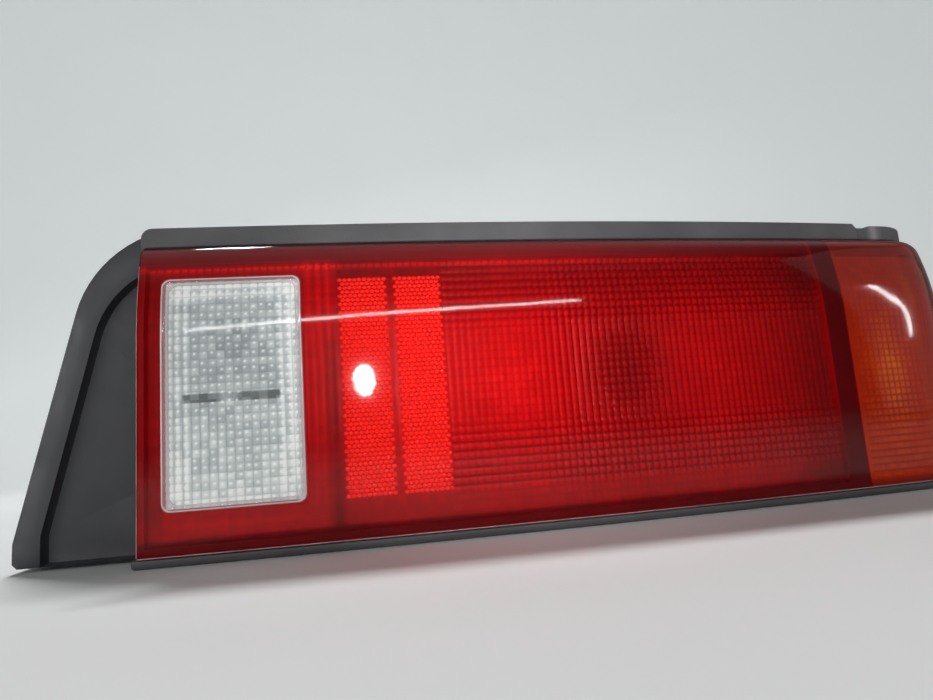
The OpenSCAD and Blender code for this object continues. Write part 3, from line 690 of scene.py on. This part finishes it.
def between(grid, span):
    """Which points of the grid lie in the span."""
    return (grid > span[0] - STEP / 2) & (grid < span[1] + STEP / 2)


s_red = line_places(LENS_X0, SPLIT_X, extra=edge_pairs(*pocket_s))
outline = section(0.0, heights=edge_pairs(*pocket_z))
s_grid, z_grid = np.meshgrid(s_red, outline[:, 1], indexing="ij")
on_front = outline[None, :, 0] < SKIRT - 0.5
in_pocket = between(s_grid, pocket_s) & between(z_grid, pocket_z) & on_front
depth = np.where(in_pocket, POCKET_DEPTH, outline[None, :, 0])
new_piece("lens_red_skin", *swept(s_red, depth, z_grid), red_skin, "red_lens", sharp=40)

s_amber = line_places(SPLIT_X + 0.05, END_S, 12.0)
outline = section(0.0)
shell = swept(s_amber, outline[None, :, 0], outline[None, :, 1])
new_piece("lens_amber_skin", *shell, amber_skin, "amber_lens", sharp=40)

# %% [markdown]
# Reflex panels send a following car's light straight back, so they look brighter than the lens round them.
# A slight glow, painted light, stands for that. Their colour runs from painted shade, dark red in the walls
# of the cells, to a painted highlight, hot red where they face the light. A little metal and a coat give
# the sparkle.

# %% Reflex finish
# The emission is a painted glow for the light that the panels throw back.
reflex_red = finish(
    "reflex_red", (0.95, 0.02, 0.012), 0.2, Metallic=0.3, Coat_Weight=0.5, Coat_Roughness=0.05,
    Emission_Color=(1.0, 0.07, 0.05, 1), Emission_Strength=0.24,
)
# Painted shade in the cell walls, up to a painted highlight where a cell faces the light.
REFLEX_STOPS = [(0.0, (0.26, 0.002, 0.004)), (0.4, (0.84, 0.028, 0.022)), (1.0, (1.0, 0.34, 0.22))]
feed(reflex_red, "Base Color", ramp(reflex_red, field(reflex_red, "shade"), REFLEX_STOPS))
uneven_gloss(reflex_red, 500.0, 0.14, 0.3)
print(reflex_red.name, "has", len(REFLEX_STOPS), "stops")

# %% [markdown]
# The real panels are plates of tiny corner cubes, seen as rows of bright dots. Each cell here is a small
# round dimple in a honeycomb, with walls steep enough to catch the light on one side. Each cell's lower
# side is also painted lighter, a painted highlight, and its outer ring darker, a painted shade, which
# gives the crescents that the eye sees.

# %% Reflex panels
CELL_X, CELL_Z, CELL_SIDES = 2.2, 1.9, 12
CELL_RINGS = [(1.12, 0.55), (0.95, 0.12), (0.62, -0.16), (0.3, -0.26), (0.0, -0.28)]
PLATE_LIFT = 0.35
cell_turn = np.arange(CELL_SIDES) * 2 * math.pi / CELL_SIDES
# Painted highlight: the lower side of each cell is lighter; the outer ring is painted shade.
lit_lower_side = 0.5 - 0.5 * np.sin(cell_turn)
RING_SHADES = [(0.0, 0.05), (0.2, 0.6), (0.55, 0.2), (0.6, 0.0), (0.6, 0.0)]
CELL_SHADE = np.concatenate([least + more * lit_lower_side for least, more in RING_SHADES])


def reflex_cells(x0, x1):
    """A plate of round dimples from x0 to x1, each of rings from its edge to its deepest point."""
    parts = []
    for row in range(int((REFLEX_Z1 - REFLEX_Z0) / CELL_Z)):
        z = REFLEX_Z0 + (row + 0.5) * CELL_Z
        shift = 0.5 * (row % 2)
        for column in range(int((x1 - x0) / CELL_X - shift)):
            x = x0 + (column + 0.5 + shift) * CELL_X
            px = np.array([x + r * CELL_X / 2 * np.cos(cell_turn) for r, _ in CELL_RINGS])
            pz = np.array([z + r * CELL_Z / 2 * np.sin(cell_turn) for r, _ in CELL_RINGS])
            rise = np.array([[d] for _, d in CELL_RINGS])
            points = place(px, skin_depth(pz, LENS_WALL) - PLATE_LIFT + rise, pz).reshape(-1, 3)
            parts.append((points, grid_faces(len(CELL_RINGS), CELL_SIDES, closed=True)))
    return *joined(parts), np.tile(CELL_SHADE, len(parts))


for name, (x0, x1) in zip(("reflex_panel_inboard", "reflex_panel_outboard"), REFLEX):
    points, faces, shade = reflex_cells(x0, x1)
    new_piece(name + "_cells", points, faces, reflex_red, "reflex_red", (name,), 60, {"shade": shade})

# %% [markdown]
# Behind the clear window lies a pillow optic, white where it throws light back, and grey between the
# pillows with painted shade. Two rows at the top and a few columns near the sides are brightest. A dark
# bar crosses the middle, broken by a lighter spot.

# %% Shade of the window's optic
BAR_X0, BAR_X1, BAR_Z = 16.7, 55.9, 63.5
BRIGHT_ROWS = [(111.6, 1.5), (107.9, 1.3)]
LEFT_COLUMNS = (14.6, 18.0, 11.6)


def window_look(s, z):
    """Flutes, ribs and shade of the window's optic, without the bright middle of each pillow."""
    bright = 0.48 + 0.16 * smooth(66, 30, z) + 0.16 * smooth(34, 20, z)
    bright += 0.5 * sum(hill(z, middle, width) for middle, width in BRIGHT_ROWS)
    bright += 0.4 * (hill(s, 57.4, 0.9) + 1.2 * hill(s, 61.4, 1.3)) * smooth(22, 30, z)
    bright += 0.3 * sum(hill(s, middle, 0.8) for middle in LEFT_COLUMNS)
    bright -= 0.10 * hill(s, 38, 18) * hill(z, 88, 18)
    bar_length = smooth(BAR_X0 - 1, BAR_X0, s) * smooth(BAR_X1 + 1, BAR_X1, s)
    bar = bar_length * smooth(2.1, 1.6, np.abs(z - BAR_Z))
    blob = hill(s, 35.0, 3.4) * hill(z, BAR_Z, 3.0)
    bright = bright * (1 - bar) + 0.02 * bar + 0.45 * blob
    level = 1 - 0.9 * np.clip(bar, 0, 1)
    upright = hill(s, 25, 9) * hill(z, 42, 18)
    return (0.75 + 0.25 * upright) * level, 0.7 * level * (1 - 0.7 * upright), np.clip(bright, 0, 1)


print("the dark bar is", round(BAR_X1 - BAR_X0, 1), "mm long")

# %% [markdown]
# Each pillow is a tiny lens, so it shows one small glint, a little off its middle and never in quite the
# same place. Three random numbers a pillow give the glint's place and strength, and one more its tone.

# %% Window optic
WIN_T, WIN_INSET, WIN_BACK = 1.6, 1.2, 9.0
PILLOW_X, PILLOW_Z, PILLOW_STEPS = 3.4, 3.46, 8
# The pillows' height, and how strong the painted shade is in the grooves between them.
PILLOW_H, PILLOW_GROOVE_SHADE = 0.6, 0.5
DARK_BELOW = 0.12
s_in, s_off = cushion_places(WIN_X0 + WIN_INSET, WIN_X1 - WIN_INSET, PILLOW_X, PILLOW_STEPS)
z_in, z_off = cushion_places(WIN_Z0 + WIN_INSET, WIN_Z1 - WIN_INSET, PILLOW_Z, PILLOW_STEPS)
s_grid, z_grid = np.meshgrid(s_in, z_in, indexing="ij")
flutes, ribs, shade = window_look(s_grid, z_grid)
dips, groove = dips_and_groove_shade(flutes, ribs, s_off, z_off)


SIDES = ((0, 0), (1, 1))


def per_pillow(low, high):
    """One random number a pillow."""
    return per_cushion(low, high, len(s_in), len(z_in), PILLOW_STEPS)


def backed_sheet(places, heights, front, back):
    """A closed sheet with a front of those depths and a flat back."""
    depth = np.pad(front, SIDES, constant_values=back)
    return swept(places, depth, np.pad(heights, SIDES, mode="edge"))


glint = hill(s_off[:, None], per_pillow(-0.45, 0.25), 0.3)
glint = glint * hill(z_off[None, :], per_pillow(-0.1, 0.5), 0.27)
tone = per_pillow(-0.15, 0.15) - 0.03
shade = np.clip(shade + tone + per_pillow(0.45, 1.0) * glint * (shade > DARK_BELOW), 0, 1)
fields = {"shade": np.pad(shade, SIDES), "groove": np.pad(PILLOW_GROOVE_SHADE * groove, SIDES)}
sheet = backed_sheet(s_in, z_grid, skin_depth(z_grid, WIN_T) + PILLOW_H * dips, WIN_BACK)
new_piece("window_optic", *sheet, clear_optic, "clear_lens", ("reverse_window",), 50, fields)

# %% [markdown]
# The frame of the window is drawn as rings of one rounded rectangle, each a little further in and at its
# own depth. A bevelled curve would be quicker, but rings can follow the lens's crown. Rounded edges catch
# more light than flats, so they are strips of their own with a painted highlight: paler and less
# see-through.

# %% Window frame
FRAME_R = 3.6


def rounded_rect(x0, x1, z0, z1, r, steps):
    """The outline of a rectangle with round corners, with so many steps in each corner."""
    corners = [(x0 + r, z0 + r, 180), (x1 - r, z0 + r, 270), (x1 - r, z1 - r, 0), (x0 + r, z1 - r, 90)]
    points = []
    for x, z, start in corners:
        for a in np.radians(np.linspace(start, start + 90, steps + 1)):
            points.append((x + r * math.cos(a), z + r * math.sin(a)))
    return np.array(points)


def subdivided(outline, longest=6.0):
    """The closed outline with its long sides cut, so that they can follow the crown."""
    points = []
    for a, b in zip(outline, np.roll(outline, -1, axis=0)):
        count = max(int(np.hypot(*(b - a)) / longest), 1)
        points += [a + (b - a) * i / count for i in range(count)]
    return np.array(points)


def frame_strip(name, profile, material):
    """A strip of the frame. The profile lists the inset and the depth of each ring."""
    base = subdivided(rounded_rect(WIN_X0, WIN_X1, WIN_Z0, WIN_Z1, FRAME_R, 6))
    middle = np.array([(WIN_X0 + WIN_X1) / 2, (WIN_Z0 + WIN_Z1) / 2])
    half = np.array([WIN_X1 - WIN_X0, WIN_Z1 - WIN_Z0]) / 2
    rings = []
    for inset, depth in profile:
        ring = middle + (base - middle) * (half - inset) / half
        rings.append(place(ring[:, 0], skin_depth(ring[:, 1], 0) + depth, ring[:, 1]))
    faces = [face[::-1] for face in grid_faces(len(profile), len(base), closed=True)]
    new_piece(name, np.concatenate(rings), faces, material, "clear_lens", sharp=35)


def frame_finish(name, colour, alpha):
    """Clear acrylic as its edge shows it: pale, partly see-through and very glossy."""
    material = finish(name, colour, 0.1, Alpha=alpha, Coat_Weight=1.0, Coat_Roughness=0.03)
    uneven_gloss(material, 200.0, 0.06, 0.16)
    return material


clear_rim = frame_finish("clear_rim", (0.90, 0.82, 0.84), 0.24)
# Painted highlight: the frame's rounded edges are paler and less see-through than its flats.
bright_edge = frame_finish("bright_edge", (0.98, 0.93, 0.94), 0.62)
INNER_EDGE = [(2.3, -0.7), (2.5, -0.3), (2.65, 0.35), (2.9, 0.6), (2.9, 5.0)]
frame_strip("window_frame_side", [(0.1, 5.0), (0.0, -0.2), (0.12, -0.6), (0.4, -0.85)], clear_rim)
frame_strip("window_frame_outer_edge", [(0.4, -0.85), (0.6, -0.9), (0.95, -0.88)], bright_edge)
frame_strip("window_frame", [(0.95, -0.88), (1.5, -0.9), (2.1, -0.82), (2.3, -0.7)], clear_rim)
frame_strip("window_frame_inner_edge", INNER_EDGE, bright_edge)

# %% [markdown]
# The pane is what closes the window in front of the pillows. It carries the reflections, as the red skin
# does, and follows the crown at the top.

# %% Window pane
PANE_INSET = 2.4
PANE_D, PANE_BACK = 0.3, 11.0
pane_s = np.linspace(WIN_X0 + PANE_INSET, WIN_X1 - PANE_INSET, 8)
pane_z = np.linspace(WIN_Z0 + PANE_INSET, WIN_Z1 - PANE_INSET, 24)
s_grid, z_grid = np.meshgrid(pane_s, pane_z, indexing="ij")
pane = backed_sheet(pane_s, z_grid, skin_depth(z_grid, PANE_D), PANE_BACK)
new_piece("window_pane", *pane, clear_pane, "clear_lens")

# %% [markdown]
# A rubber frame closes the gap to the car's body. Old rubber is a dull, patchy grey black, paler where it
# was rubbed. How worn a spot is comes from a number on the mesh, so the wear stays where it belongs.

# %% Rubber finish
rubber = finish("rubber", (0.045, 0.046, 0.048), 0.5, Specular_IOR_Level=0.4)
patches = clouds(rubber, 25.0, (0.074, 0.071, 0.075), (0.118, 0.113, 0.118))
feed(rubber, "Base Color", blended(rubber, field(rubber, "scuff"), patches, (0.34, 0.32, 0.33)))
uneven_gloss(rubber, 90.0, 0.38, 0.62)
grained(rubber, 1800.0, 0.00012)
print(rubber.name, "ready")

# %% [markdown]
# The seal is moulded with soft edges, so each strip is swept with a rounded section. The top strip is
# rounded off inboard and stops at a slanted cut near the corner, where a second, lower piece takes over,
# so a strip's upper edge can change its height on the way.

# %% Seal strips
SEAL_D, FLANGE_D, SEAL_END, SEAL_TOP = 12.0, 16.5, 2.4, 9.5
LEDGE_D, LEDGE_T, FIT = 0.6, 3.9, 0.3
CUT_X, CUT_DROP = 366.0, 3.0
CUT_S0, CUT_S1, CUT_FALL = CUT_X - 1.0, CUT_X + 1.6, 2.8
SEAL_Z0, SEAL_Z1 = -FIT - LEDGE_T, LENS_H + SEAL_TOP
SEAL_S0, SEAL_S1 = LENS_X0 - SEAL_END, END_S + SEAL_END
SEAL_STEP = 12.0
END_R = 4.5
CORNER_DROP, HUMP_DROP = 1.0, 1.7


def strip(s0, s1, box, r, top=None, extra=()):
    """A rubber strip from s0 to s1. top gives the height of its upper edge, where that changes."""
    s_values = line_places(s0, s1, SEAL_STEP, extra=extra)
    outline = rounded_rect(*box, r, 4)[::-1]
    heights = np.tile(outline[:, 1], (len(s_values), 1))
    if top is not None:
        upper = outline[:, 1] > (box[2] + box[3]) / 2
        heights[:, upper] += (top(s_values) - box[3])[:, None]
    return swept(s_values, outline[None, :, 0], heights)


def main_top(s):
    """Rounded at the inboard end, level, and cut off at a slant before the corner."""
    in_round = np.clip(SEAL_S0 + END_R - s, 0, END_R)
    slant = np.interp(s, [CUT_S0, CUT_S1], [0, CUT_FALL])
    return SEAL_Z1 - END_R + np.sqrt(END_R**2 - in_round**2) - slant


def corner_top(s):
    """A low start at the cut, a slight rise, and level round the corner."""
    return SEAL_Z1 - CORNER_DROP - HUMP_DROP * smooth(CUT_X + 12, CUT_X + 4, s)


print("the seal runs from", round(SEAL_S0, 1), "to", round(SEAL_S1, 1), "mm")

# %% [markdown]
# The main seal is four strips round the lens and a lip: below the lens the rubber reaches forward as a
# ledge, with an outline of its own that slopes back underneath.

# %% Main seal
LIP_BACK, LIP_SHUT = 3.4, 2.0
lip_outline = np.array([
    (LEDGE_D + 0.3, -FIT - 0.15),
    (LEDGE_D + 0.05, -FIT - 0.45),
    (LEDGE_D, -FIT - 0.9),
    (LEDGE_D + 0.2, -FIT - 1.6),
    (LEDGE_D + 0.9, -FIT - 2.8),
    (LEDGE_D + LIP_BACK - 1.2, SEAL_Z0 + 0.35),
    (LEDGE_D + LIP_BACK, SEAL_Z0),
    (SEAL_D + LIP_SHUT, SEAL_Z0),
    (SEAL_D + LIP_SHUT, -FIT),
    (LEDGE_D + 0.9, -FIT),
])[::-1]
lip_s = line_places(SEAL_S0 + FIT, SEAL_S1 - FIT, SEAL_STEP)
lip = swept(lip_s, lip_outline[None, :, 0], lip_outline[None, :, 1])
end_places = SEAL_S0 + END_R * (1 - np.cos(np.linspace(0, math.pi / 2, 7)))
top_box = (SEAL_D, FLANGE_D, LENS_H + FIT, SEAL_Z1)
top_places = [*end_places, CUT_S0, CUT_X + 0.3]
main_strip = strip(SEAL_S0, CUT_S1, top_box, 0.5, top=main_top, extra=top_places)
foot = strip(SEAL_S0, SEAL_S1, (SEAL_D, FLANGE_D, SEAL_Z0 + FIT, -FIT - 0.1), 0.9)
inboard = strip(SEAL_S0, LENS_X0 - FIT, (SEAL_D, FLANGE_D, SEAL_Z0 + FIT, LENS_H + 1), 0.9)
outboard = strip(END_S + FIT, SEAL_S1, (SEAL_D, FLANGE_D, SEAL_Z0 + FIT, LENS_H + FIT), 0.9)
points, faces = joined([main_strip, lip, foot, inboard, outboard])
new_piece("rim_seal_rubber", points, faces, rubber, "seal_rubber", ("rim_seal",))

# %% [markdown]
# The corner seal is one strip that starts just past the cut. Where it begins to rise it has been rubbed
# pale, which is a soft hill in the number that the rubber's finish reads.

# %% Corner seal
SCUFF_S, SCUFF_HALF, SCUFF_MOST = 377.0, 3.0, 0.8
corner_box = (SEAL_D, FLANGE_D, LENS_H + FIT, SEAL_Z1 - CORNER_DROP)
corner_start = CUT_X + CUT_DROP
corner_places = np.linspace(corner_start, CUT_X + 16, 14)
points, faces = strip(corner_start - 1.2, SEAL_S1, corner_box, 0.8, top=corner_top, extra=corner_places)
worn = SCUFF_MOST * hill(points[:, 0] / MM - ZERO[0], SCUFF_S, SCUFF_HALF)
fields = {"scuff": worn}
new_piece("corner_seal_rubber", points, faces, rubber, "seal_rubber", ("corner_seal",), fields=fields)

# %% [markdown]
# Where the lens was trimmed after moulding, its lower front edge and its inboard edge catch the light as a
# thin pale line. It could be a lighter colour on the skin, but it's a real form of less than a millimetre,
# so each edge gets a bead of its own, whose pale colour is a painted highlight.

# %% Pale edges of the lens
# The beads' pale colour is a painted highlight along the lens's edges.
edge_highlight = finish("edge_highlight", (0.62, 0.34, 0.34), 0.3, Coat_Weight=0.5, Coat_Roughness=0.1)
mottled(edge_highlight, 90.0, (0.40, 0.17, 0.18), (0.66, 0.40, 0.39))
uneven_gloss(edge_highlight, 120.0, 0.25, 0.4)
BEAD_R, SIDE_BEAD_R = 0.28, 0.2
BEAD_IN, SIDE_BEAD_D = 0.42, 0.15
bead_turn = np.arange(8) * 2 * math.pi / 8
bead_d = BEAD_IN + BEAD_R * np.cos(bead_turn)[None, ::-1]
bead_h = BEAD_IN + BEAD_R * np.sin(bead_turn)[None, ::-1]
lower_bead = swept(line_places(LENS_X0 + 0.2, END_S - 1.0, 12.0), bead_d, bead_h)
new_piece("lens_lower_edge", *lower_bead, edge_highlight, "red_lens", sharp=60)

bead_z = np.linspace(1.0, 122.0, 24)
side_s = LENS_X0 + SIDE_BEAD_R + SIDE_BEAD_R * np.cos(bead_turn)[None, :]
side_d = skin_depth(bead_z, 0)[:, None] + SIDE_BEAD_D - SIDE_BEAD_R * np.sin(bead_turn)[None, :]
points = place(side_s, side_d, bead_z[:, None]).reshape(-1, 3)
faces = grid_faces(len(bead_z), len(bead_turn), closed=True)
new_piece("lens_inboard_edge", points, faces, edge_highlight, "red_lens", sharp=60)

# %% [markdown]
# The remaining solids keep their shapes and get real finishes, each by the same recipe with its own
# numbers. The dark ones come first: satin filler, grained housing, rubber rings, bonding bead and dull
# foam.

# %% Dark finishes of the solids
finishes = {
    "seal_rubber": rubber,
    "red_lens": red_optic,
    "amber_lens": amber_optic,
    "clear_lens": clear_optic,
    "reflex_red": reflex_red,
}


def recipe(name, roughness, scale, dark, light, gloss=None, grain=None, **plain):
    """A cloudy finish, with gloss (scale, low, high) and grain (scale, height) where given."""
    material = finish(name, light, roughness, **plain)
    mottled(material, scale, dark, light)
    if gloss:
        uneven_gloss(material, *gloss)
    if grain:
        grained(material, *grain)
    finishes[name] = material


recipe("filler_plastic", 0.45, 18.0, (0.031, 0.032, 0.037), (0.050, 0.052, 0.058),
       gloss=(120.0, 0.34, 0.55), grain=(2600.0, 0.00008))
# Paler edges of the filler: partly wear, partly a painted highlight.
recipe("worn_edge", 0.36, 60.0, (0.08, 0.083, 0.09), (0.20, 0.205, 0.21),
       gloss=(120.0, 0.28, 0.45))
recipe("housing_plastic", 0.55, 30.0, (0.022, 0.022, 0.024), (0.042, 0.042, 0.045),
       gloss=(150.0, 0.45, 0.65), grain=(2200.0, 0.00012))
recipe("holder_plastic", 0.42, 60.0, (0.07, 0.07, 0.075), (0.11, 0.11, 0.115),
       grain=(3000.0, 0.00006))
recipe("ring_rubber", 0.6, 80.0, (0.014, 0.014, 0.014), (0.03, 0.03, 0.03),
       grain=(2500.0, 0.0001))
recipe("bond_bead", 0.45, 120.0, (0.014, 0.014, 0.014), (0.03, 0.03, 0.03),
       grain=(900.0, 0.0002))
recipe("foam", 0.9, 700.0, (0.07, 0.07, 0.074), (0.14, 0.14, 0.145),
       grain=(1500.0, 0.0006))
print(len(finishes), "finishes so far")

# %% [markdown]
# The bright ones are metal and glass: stamped brass, plated studs, the mirror coat of the reflectors and
# the bulbs. Thin blown glass is a low Alpha, which is lighter to render than real refraction.

# %% Bright finishes of the solids
recipe("terminal_brass", 0.28, 200.0, (0.68, 0.52, 0.24), (0.84, 0.68, 0.36),
       gloss=(300.0, 0.2, 0.38), Metallic=1.0)
recipe("bulb_brass", 0.22, 200.0, (0.66, 0.55, 0.32), (0.82, 0.72, 0.48),
       gloss=(260.0, 0.16, 0.3), Metallic=1.0)
recipe("plated_steel", 0.3, 150.0, (0.52, 0.49, 0.40), (0.70, 0.68, 0.60),
       gloss=(240.0, 0.24, 0.42), Metallic=1.0)
recipe("mirror_coat", 0.06, 40.0, (0.84, 0.84, 0.86), (0.92, 0.92, 0.94),
       gloss=(80.0, 0.04, 0.1), Metallic=1.0)
recipe("bulb_glass", 0.02, 60.0, (0.92, 0.95, 1.0), (1.0, 1.0, 1.0),
       gloss=(60.0, 0.01, 0.04), Alpha=0.22, IOR=1.5)
print(len(finishes), "finishes in all")

# %% [markdown]
# The end filler is in full view, and a moulding's edges are never sharp. Its solid is copied and its edges
# are bevelled. The narrow new faces get a finish of their own, paler than the flats: partly the wear of
# handled edges, partly a painted highlight where the edges catch the light.

# %% Soft edges of the end filler
EDGE_WIDTH, MERGE_GAP = 0.0007, 0.00001
FLAT_ANGLE, SHARP_ANGLE, SHADE_ANGLE = math.radians(1), math.radians(30), math.radians(35)
mesh = nodes["end_filler"].data.copy()
mesh.name = "end_filler_moulding"
mesh.materials.clear()
mesh.materials.append(finishes["filler_plastic"])
mesh.materials.append(finishes["worn_edge"])
shape = bmesh.new()
shape.from_mesh(mesh)
bmesh.ops.remove_doubles(shape, verts=shape.verts, dist=MERGE_GAP)
bmesh.ops.dissolve_limit(shape, angle_limit=FLAT_ANGLE, verts=shape.verts, edges=shape.edges)
for face in shape.faces:
    face.material_index = 0
    face.smooth = True
folds = [e for e in shape.edges if len(e.link_faces) == 2]
sharp = [e for e in folds if e.calc_face_angle() > SHARP_ANGLE]
bmesh.ops.bevel(
    shape, geom=sharp, offset=EDGE_WIDTH, segments=2, profile=0.5, affect="EDGES", material=1,
    clamp_overlap=True,
)
bmesh.ops.triangulate(shape, faces=[f for f in shape.faces if len(f.verts) > 4])
shape.to_mesh(mesh)
shape.free()
mesh.set_sharp_from_angle(angle=SHADE_ANGLE)
lamp_piece(mesh, ("end_filler",))
print(len(sharp), "edges rounded")

# %% [markdown]
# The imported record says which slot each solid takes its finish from, and the finishes are kept under the
# names of their slots. Solids that a piece stands for get theirs as well, so that nothing is left plain.

# %% Dress the solids
for subpart in frame["record"]["subparts"]:
    for material_slot in nodes[subpart["node"]].material_slots:
        material_slot.material = finishes[subpart["material_slot"]]
print(len(nodes), "solids dressed")

# %% [markdown]
# The studio is a pale floor that bends up into a backdrop, with no line between them. Away from the lamp
# the floor is lifted by its own glow, because the lights are kept low for the lamp's sake. Only the camera
# sees the full lift and gloss shows a part of it, so it doesn't light the lamp.

# %% Floor and backdrop
FLOOR_Z = cad_low.z
WALL_Y, BEND_R, FLOOR_HALF, WALL_TOP = 2.2, 0.9, 14.0, 9.0
WALL_LIFT, GLOSS_SHARE = 0.56, 0.3
LIFT_FROM, LIFT_FULL = 0.5, 2.4
studio = finish("studio", (0.70, 0.72, 0.72), 0.9, Emission_Color=(0.80, 0.84, 0.84, 1))
mottled(studio, 3.0, (0.68, 0.70, 0.70), (0.72, 0.74, 0.74))
rays = node(studio, "LightPath").outputs
in_gloss = sum_of(studio, "MULTIPLY", [(0, rays["Is Glossy Ray"])], in_1=GLOSS_SHARE)
seen = sum_of(studio, "MAXIMUM", [(0, rays["Is Camera Ray"]), (1, in_gloss)])
seen_through = sum_of(studio, "MAXIMUM", [(0, seen), (1, rays["Is Transmission Ray"])])
spot = node(studio, "NewGeometry").outputs["Position"]
reach = node(studio, "VectorMath", [(0, spot)], operation="LENGTH").outputs["Value"]
lift = span_of(studio, reach, LIFT_FROM, LIFT_FULL, 0, WALL_LIFT)
feed(studio, "Emission Strength", sum_of(studio, "MULTIPLY", [(0, seen_through), (1, lift)]))

bend_turn = np.linspace(0, math.pi / 2, 16)
bend = [(WALL_Y + BEND_R * (math.sin(a) - 1), BEND_R * (1 - math.cos(a))) for a in bend_turn]
path = [(-FLOOR_HALF, 0.0), *bend, (WALL_Y, WALL_TOP)]
points = [(x, y, FLOOR_Z + z) for x in (-FLOOR_HALF, FLOOR_HALF) for y, z in path]
mesh = bpy.data.meshes.new("studio_floor")
mesh.from_pydata(points, [], grid_faces(2, len(path)))
mesh.polygons.foreach_set("use_smooth", [True] * len(mesh.polygons))
mesh.materials.append(studio)
in_scene(mesh)
print("the floor lies at", round(FLOOR_Z, 4), "m")

# %% [markdown]
# A strip light above and behind the lamp throws the shadow in front of its lower edge. Large weak lights
# from the left and the right fill the front, and one behind shows the lamp's back. A small round light
# close to the camera gives the bright spot on the reflex panels.

# %% Soft lights
def soft_light(name, where, target, size, watts):
    """A rectangular light at that place, facing the target."""
    data = bpy.data.lights.new(name, "AREA")
    data.shape = "RECTANGLE"
    data.size, data.size_y = size
    data.energy = watts
    light = in_scene(data)
    light.location = where
    light.rotation_mode = "QUATERNION"
    light.rotation_quaternion = (Vector(target) - Vector(where)).to_track_quat("-Z", "Y")
    print("light", name, watts, "W")
    return light


soft_light("overhead", (-0.4, 0.62, 1.6), (-0.02, 0, 0), (0.5, 0.05), 23)
soft_light("left", (-1.25, -1.15, 0.20), (0, 0, 0), (0.9, 0.6), 6.5)
soft_light("right", (1.7, -0.4, 0.45), (0, 0, 0), (1.3, 1.0), 1.6)
soft_light("back", (0.3, 1.3, 1.2), (0, 0, 0), (1.0, 0.6), 5)
flash = soft_light("flash", (-0.0997, -0.325, 0.030), (-0.02, 0, 0.04), (0.020, 0.028), 0.05)
flash.data.spread = math.radians(55)
flash.data.shape = "ELLIPSE"
flash.visible_camera = False

# %% [markdown]
# Tube lights in the room show as thin white lines in the gloss. A mirror shows a light where the mirrored
# camera would see it, so a tube's two ends follow from the ends of its line in the picture.

# %% Tube lights
def tube_light(name, start, end, width, watts):
    """A long thin light from start to end, facing the lamp."""
    start, end = Vector(start), Vector(end)
    light = soft_light(name, (start + end) / 2, (0, 0, 0), ((end - start).length, width), watts)
    facing = -((start + end) / 2).normalized()
    along = (end - start).normalized()
    across = facing.cross(along).normalized()
    turned = Matrix((along, -across, -along.cross(across))).transposed()
    light.rotation_quaternion = turned.to_quaternion()


tube_light("tube", (-0.596, -1.447, 0.383), (0.634, -1.306, 0.521), 0.028, 3.9)
tube_light("far_tube", (1.374, -0.781, 0.473), (1.479, -0.763, 0.145), 0.02, 0.8)

# %% [markdown]
# The world gives a faint even light. Gloss also sees a pale ceiling in it, which shows on the rounded top
# edge of the lens. The camera sees the world as pale as the backdrop, so no view ends in a dark edge.

# %% World
WORLD_LEVEL, CEILING_LEVEL, PALE_LEVEL = 0.07, 1.1, 0.56
CEILING_SPAN = (0.45, 0.80)
world = bpy.data.worlds.new("studio_world")
world.use_nodes = True
sky = world.node_tree.nodes["Background"]
sky.inputs["Color"].default_value = (0.82, 0.85, 0.87, 1)
rays = node(world, "LightPath").outputs
direction = node(world, "TexCoord").outputs["Generated"]
upward = node(world, "SeparateXYZ", [(0, direction)]).outputs["Z"]
ceiling = span_of(world, upward, *CEILING_SPAN, 0, CEILING_LEVEL, interpolation_type="SMOOTHSTEP")
level = sum_of(world, "MULTIPLY_ADD", [(0, ceiling), (1, rays["Is Glossy Ray"])], in_2=WORLD_LEVEL)
looked_at = sum_of(world, "MAXIMUM", [(0, rays["Is Camera Ray"]), (1, rays["Is Transmission Ray"])])
with_pale = sum_of(world, "MULTIPLY_ADD", [(0, looked_at), (2, level)], in_1=PALE_LEVEL)
world.node_tree.links.new(sky.inputs["Strength"], with_pale)
bpy.context.scene.world = world
bpy.context.scene.view_settings.view_transform = "Standard"
print("world level", WORLD_LEVEL, "and ceiling", CEILING_LEVEL)
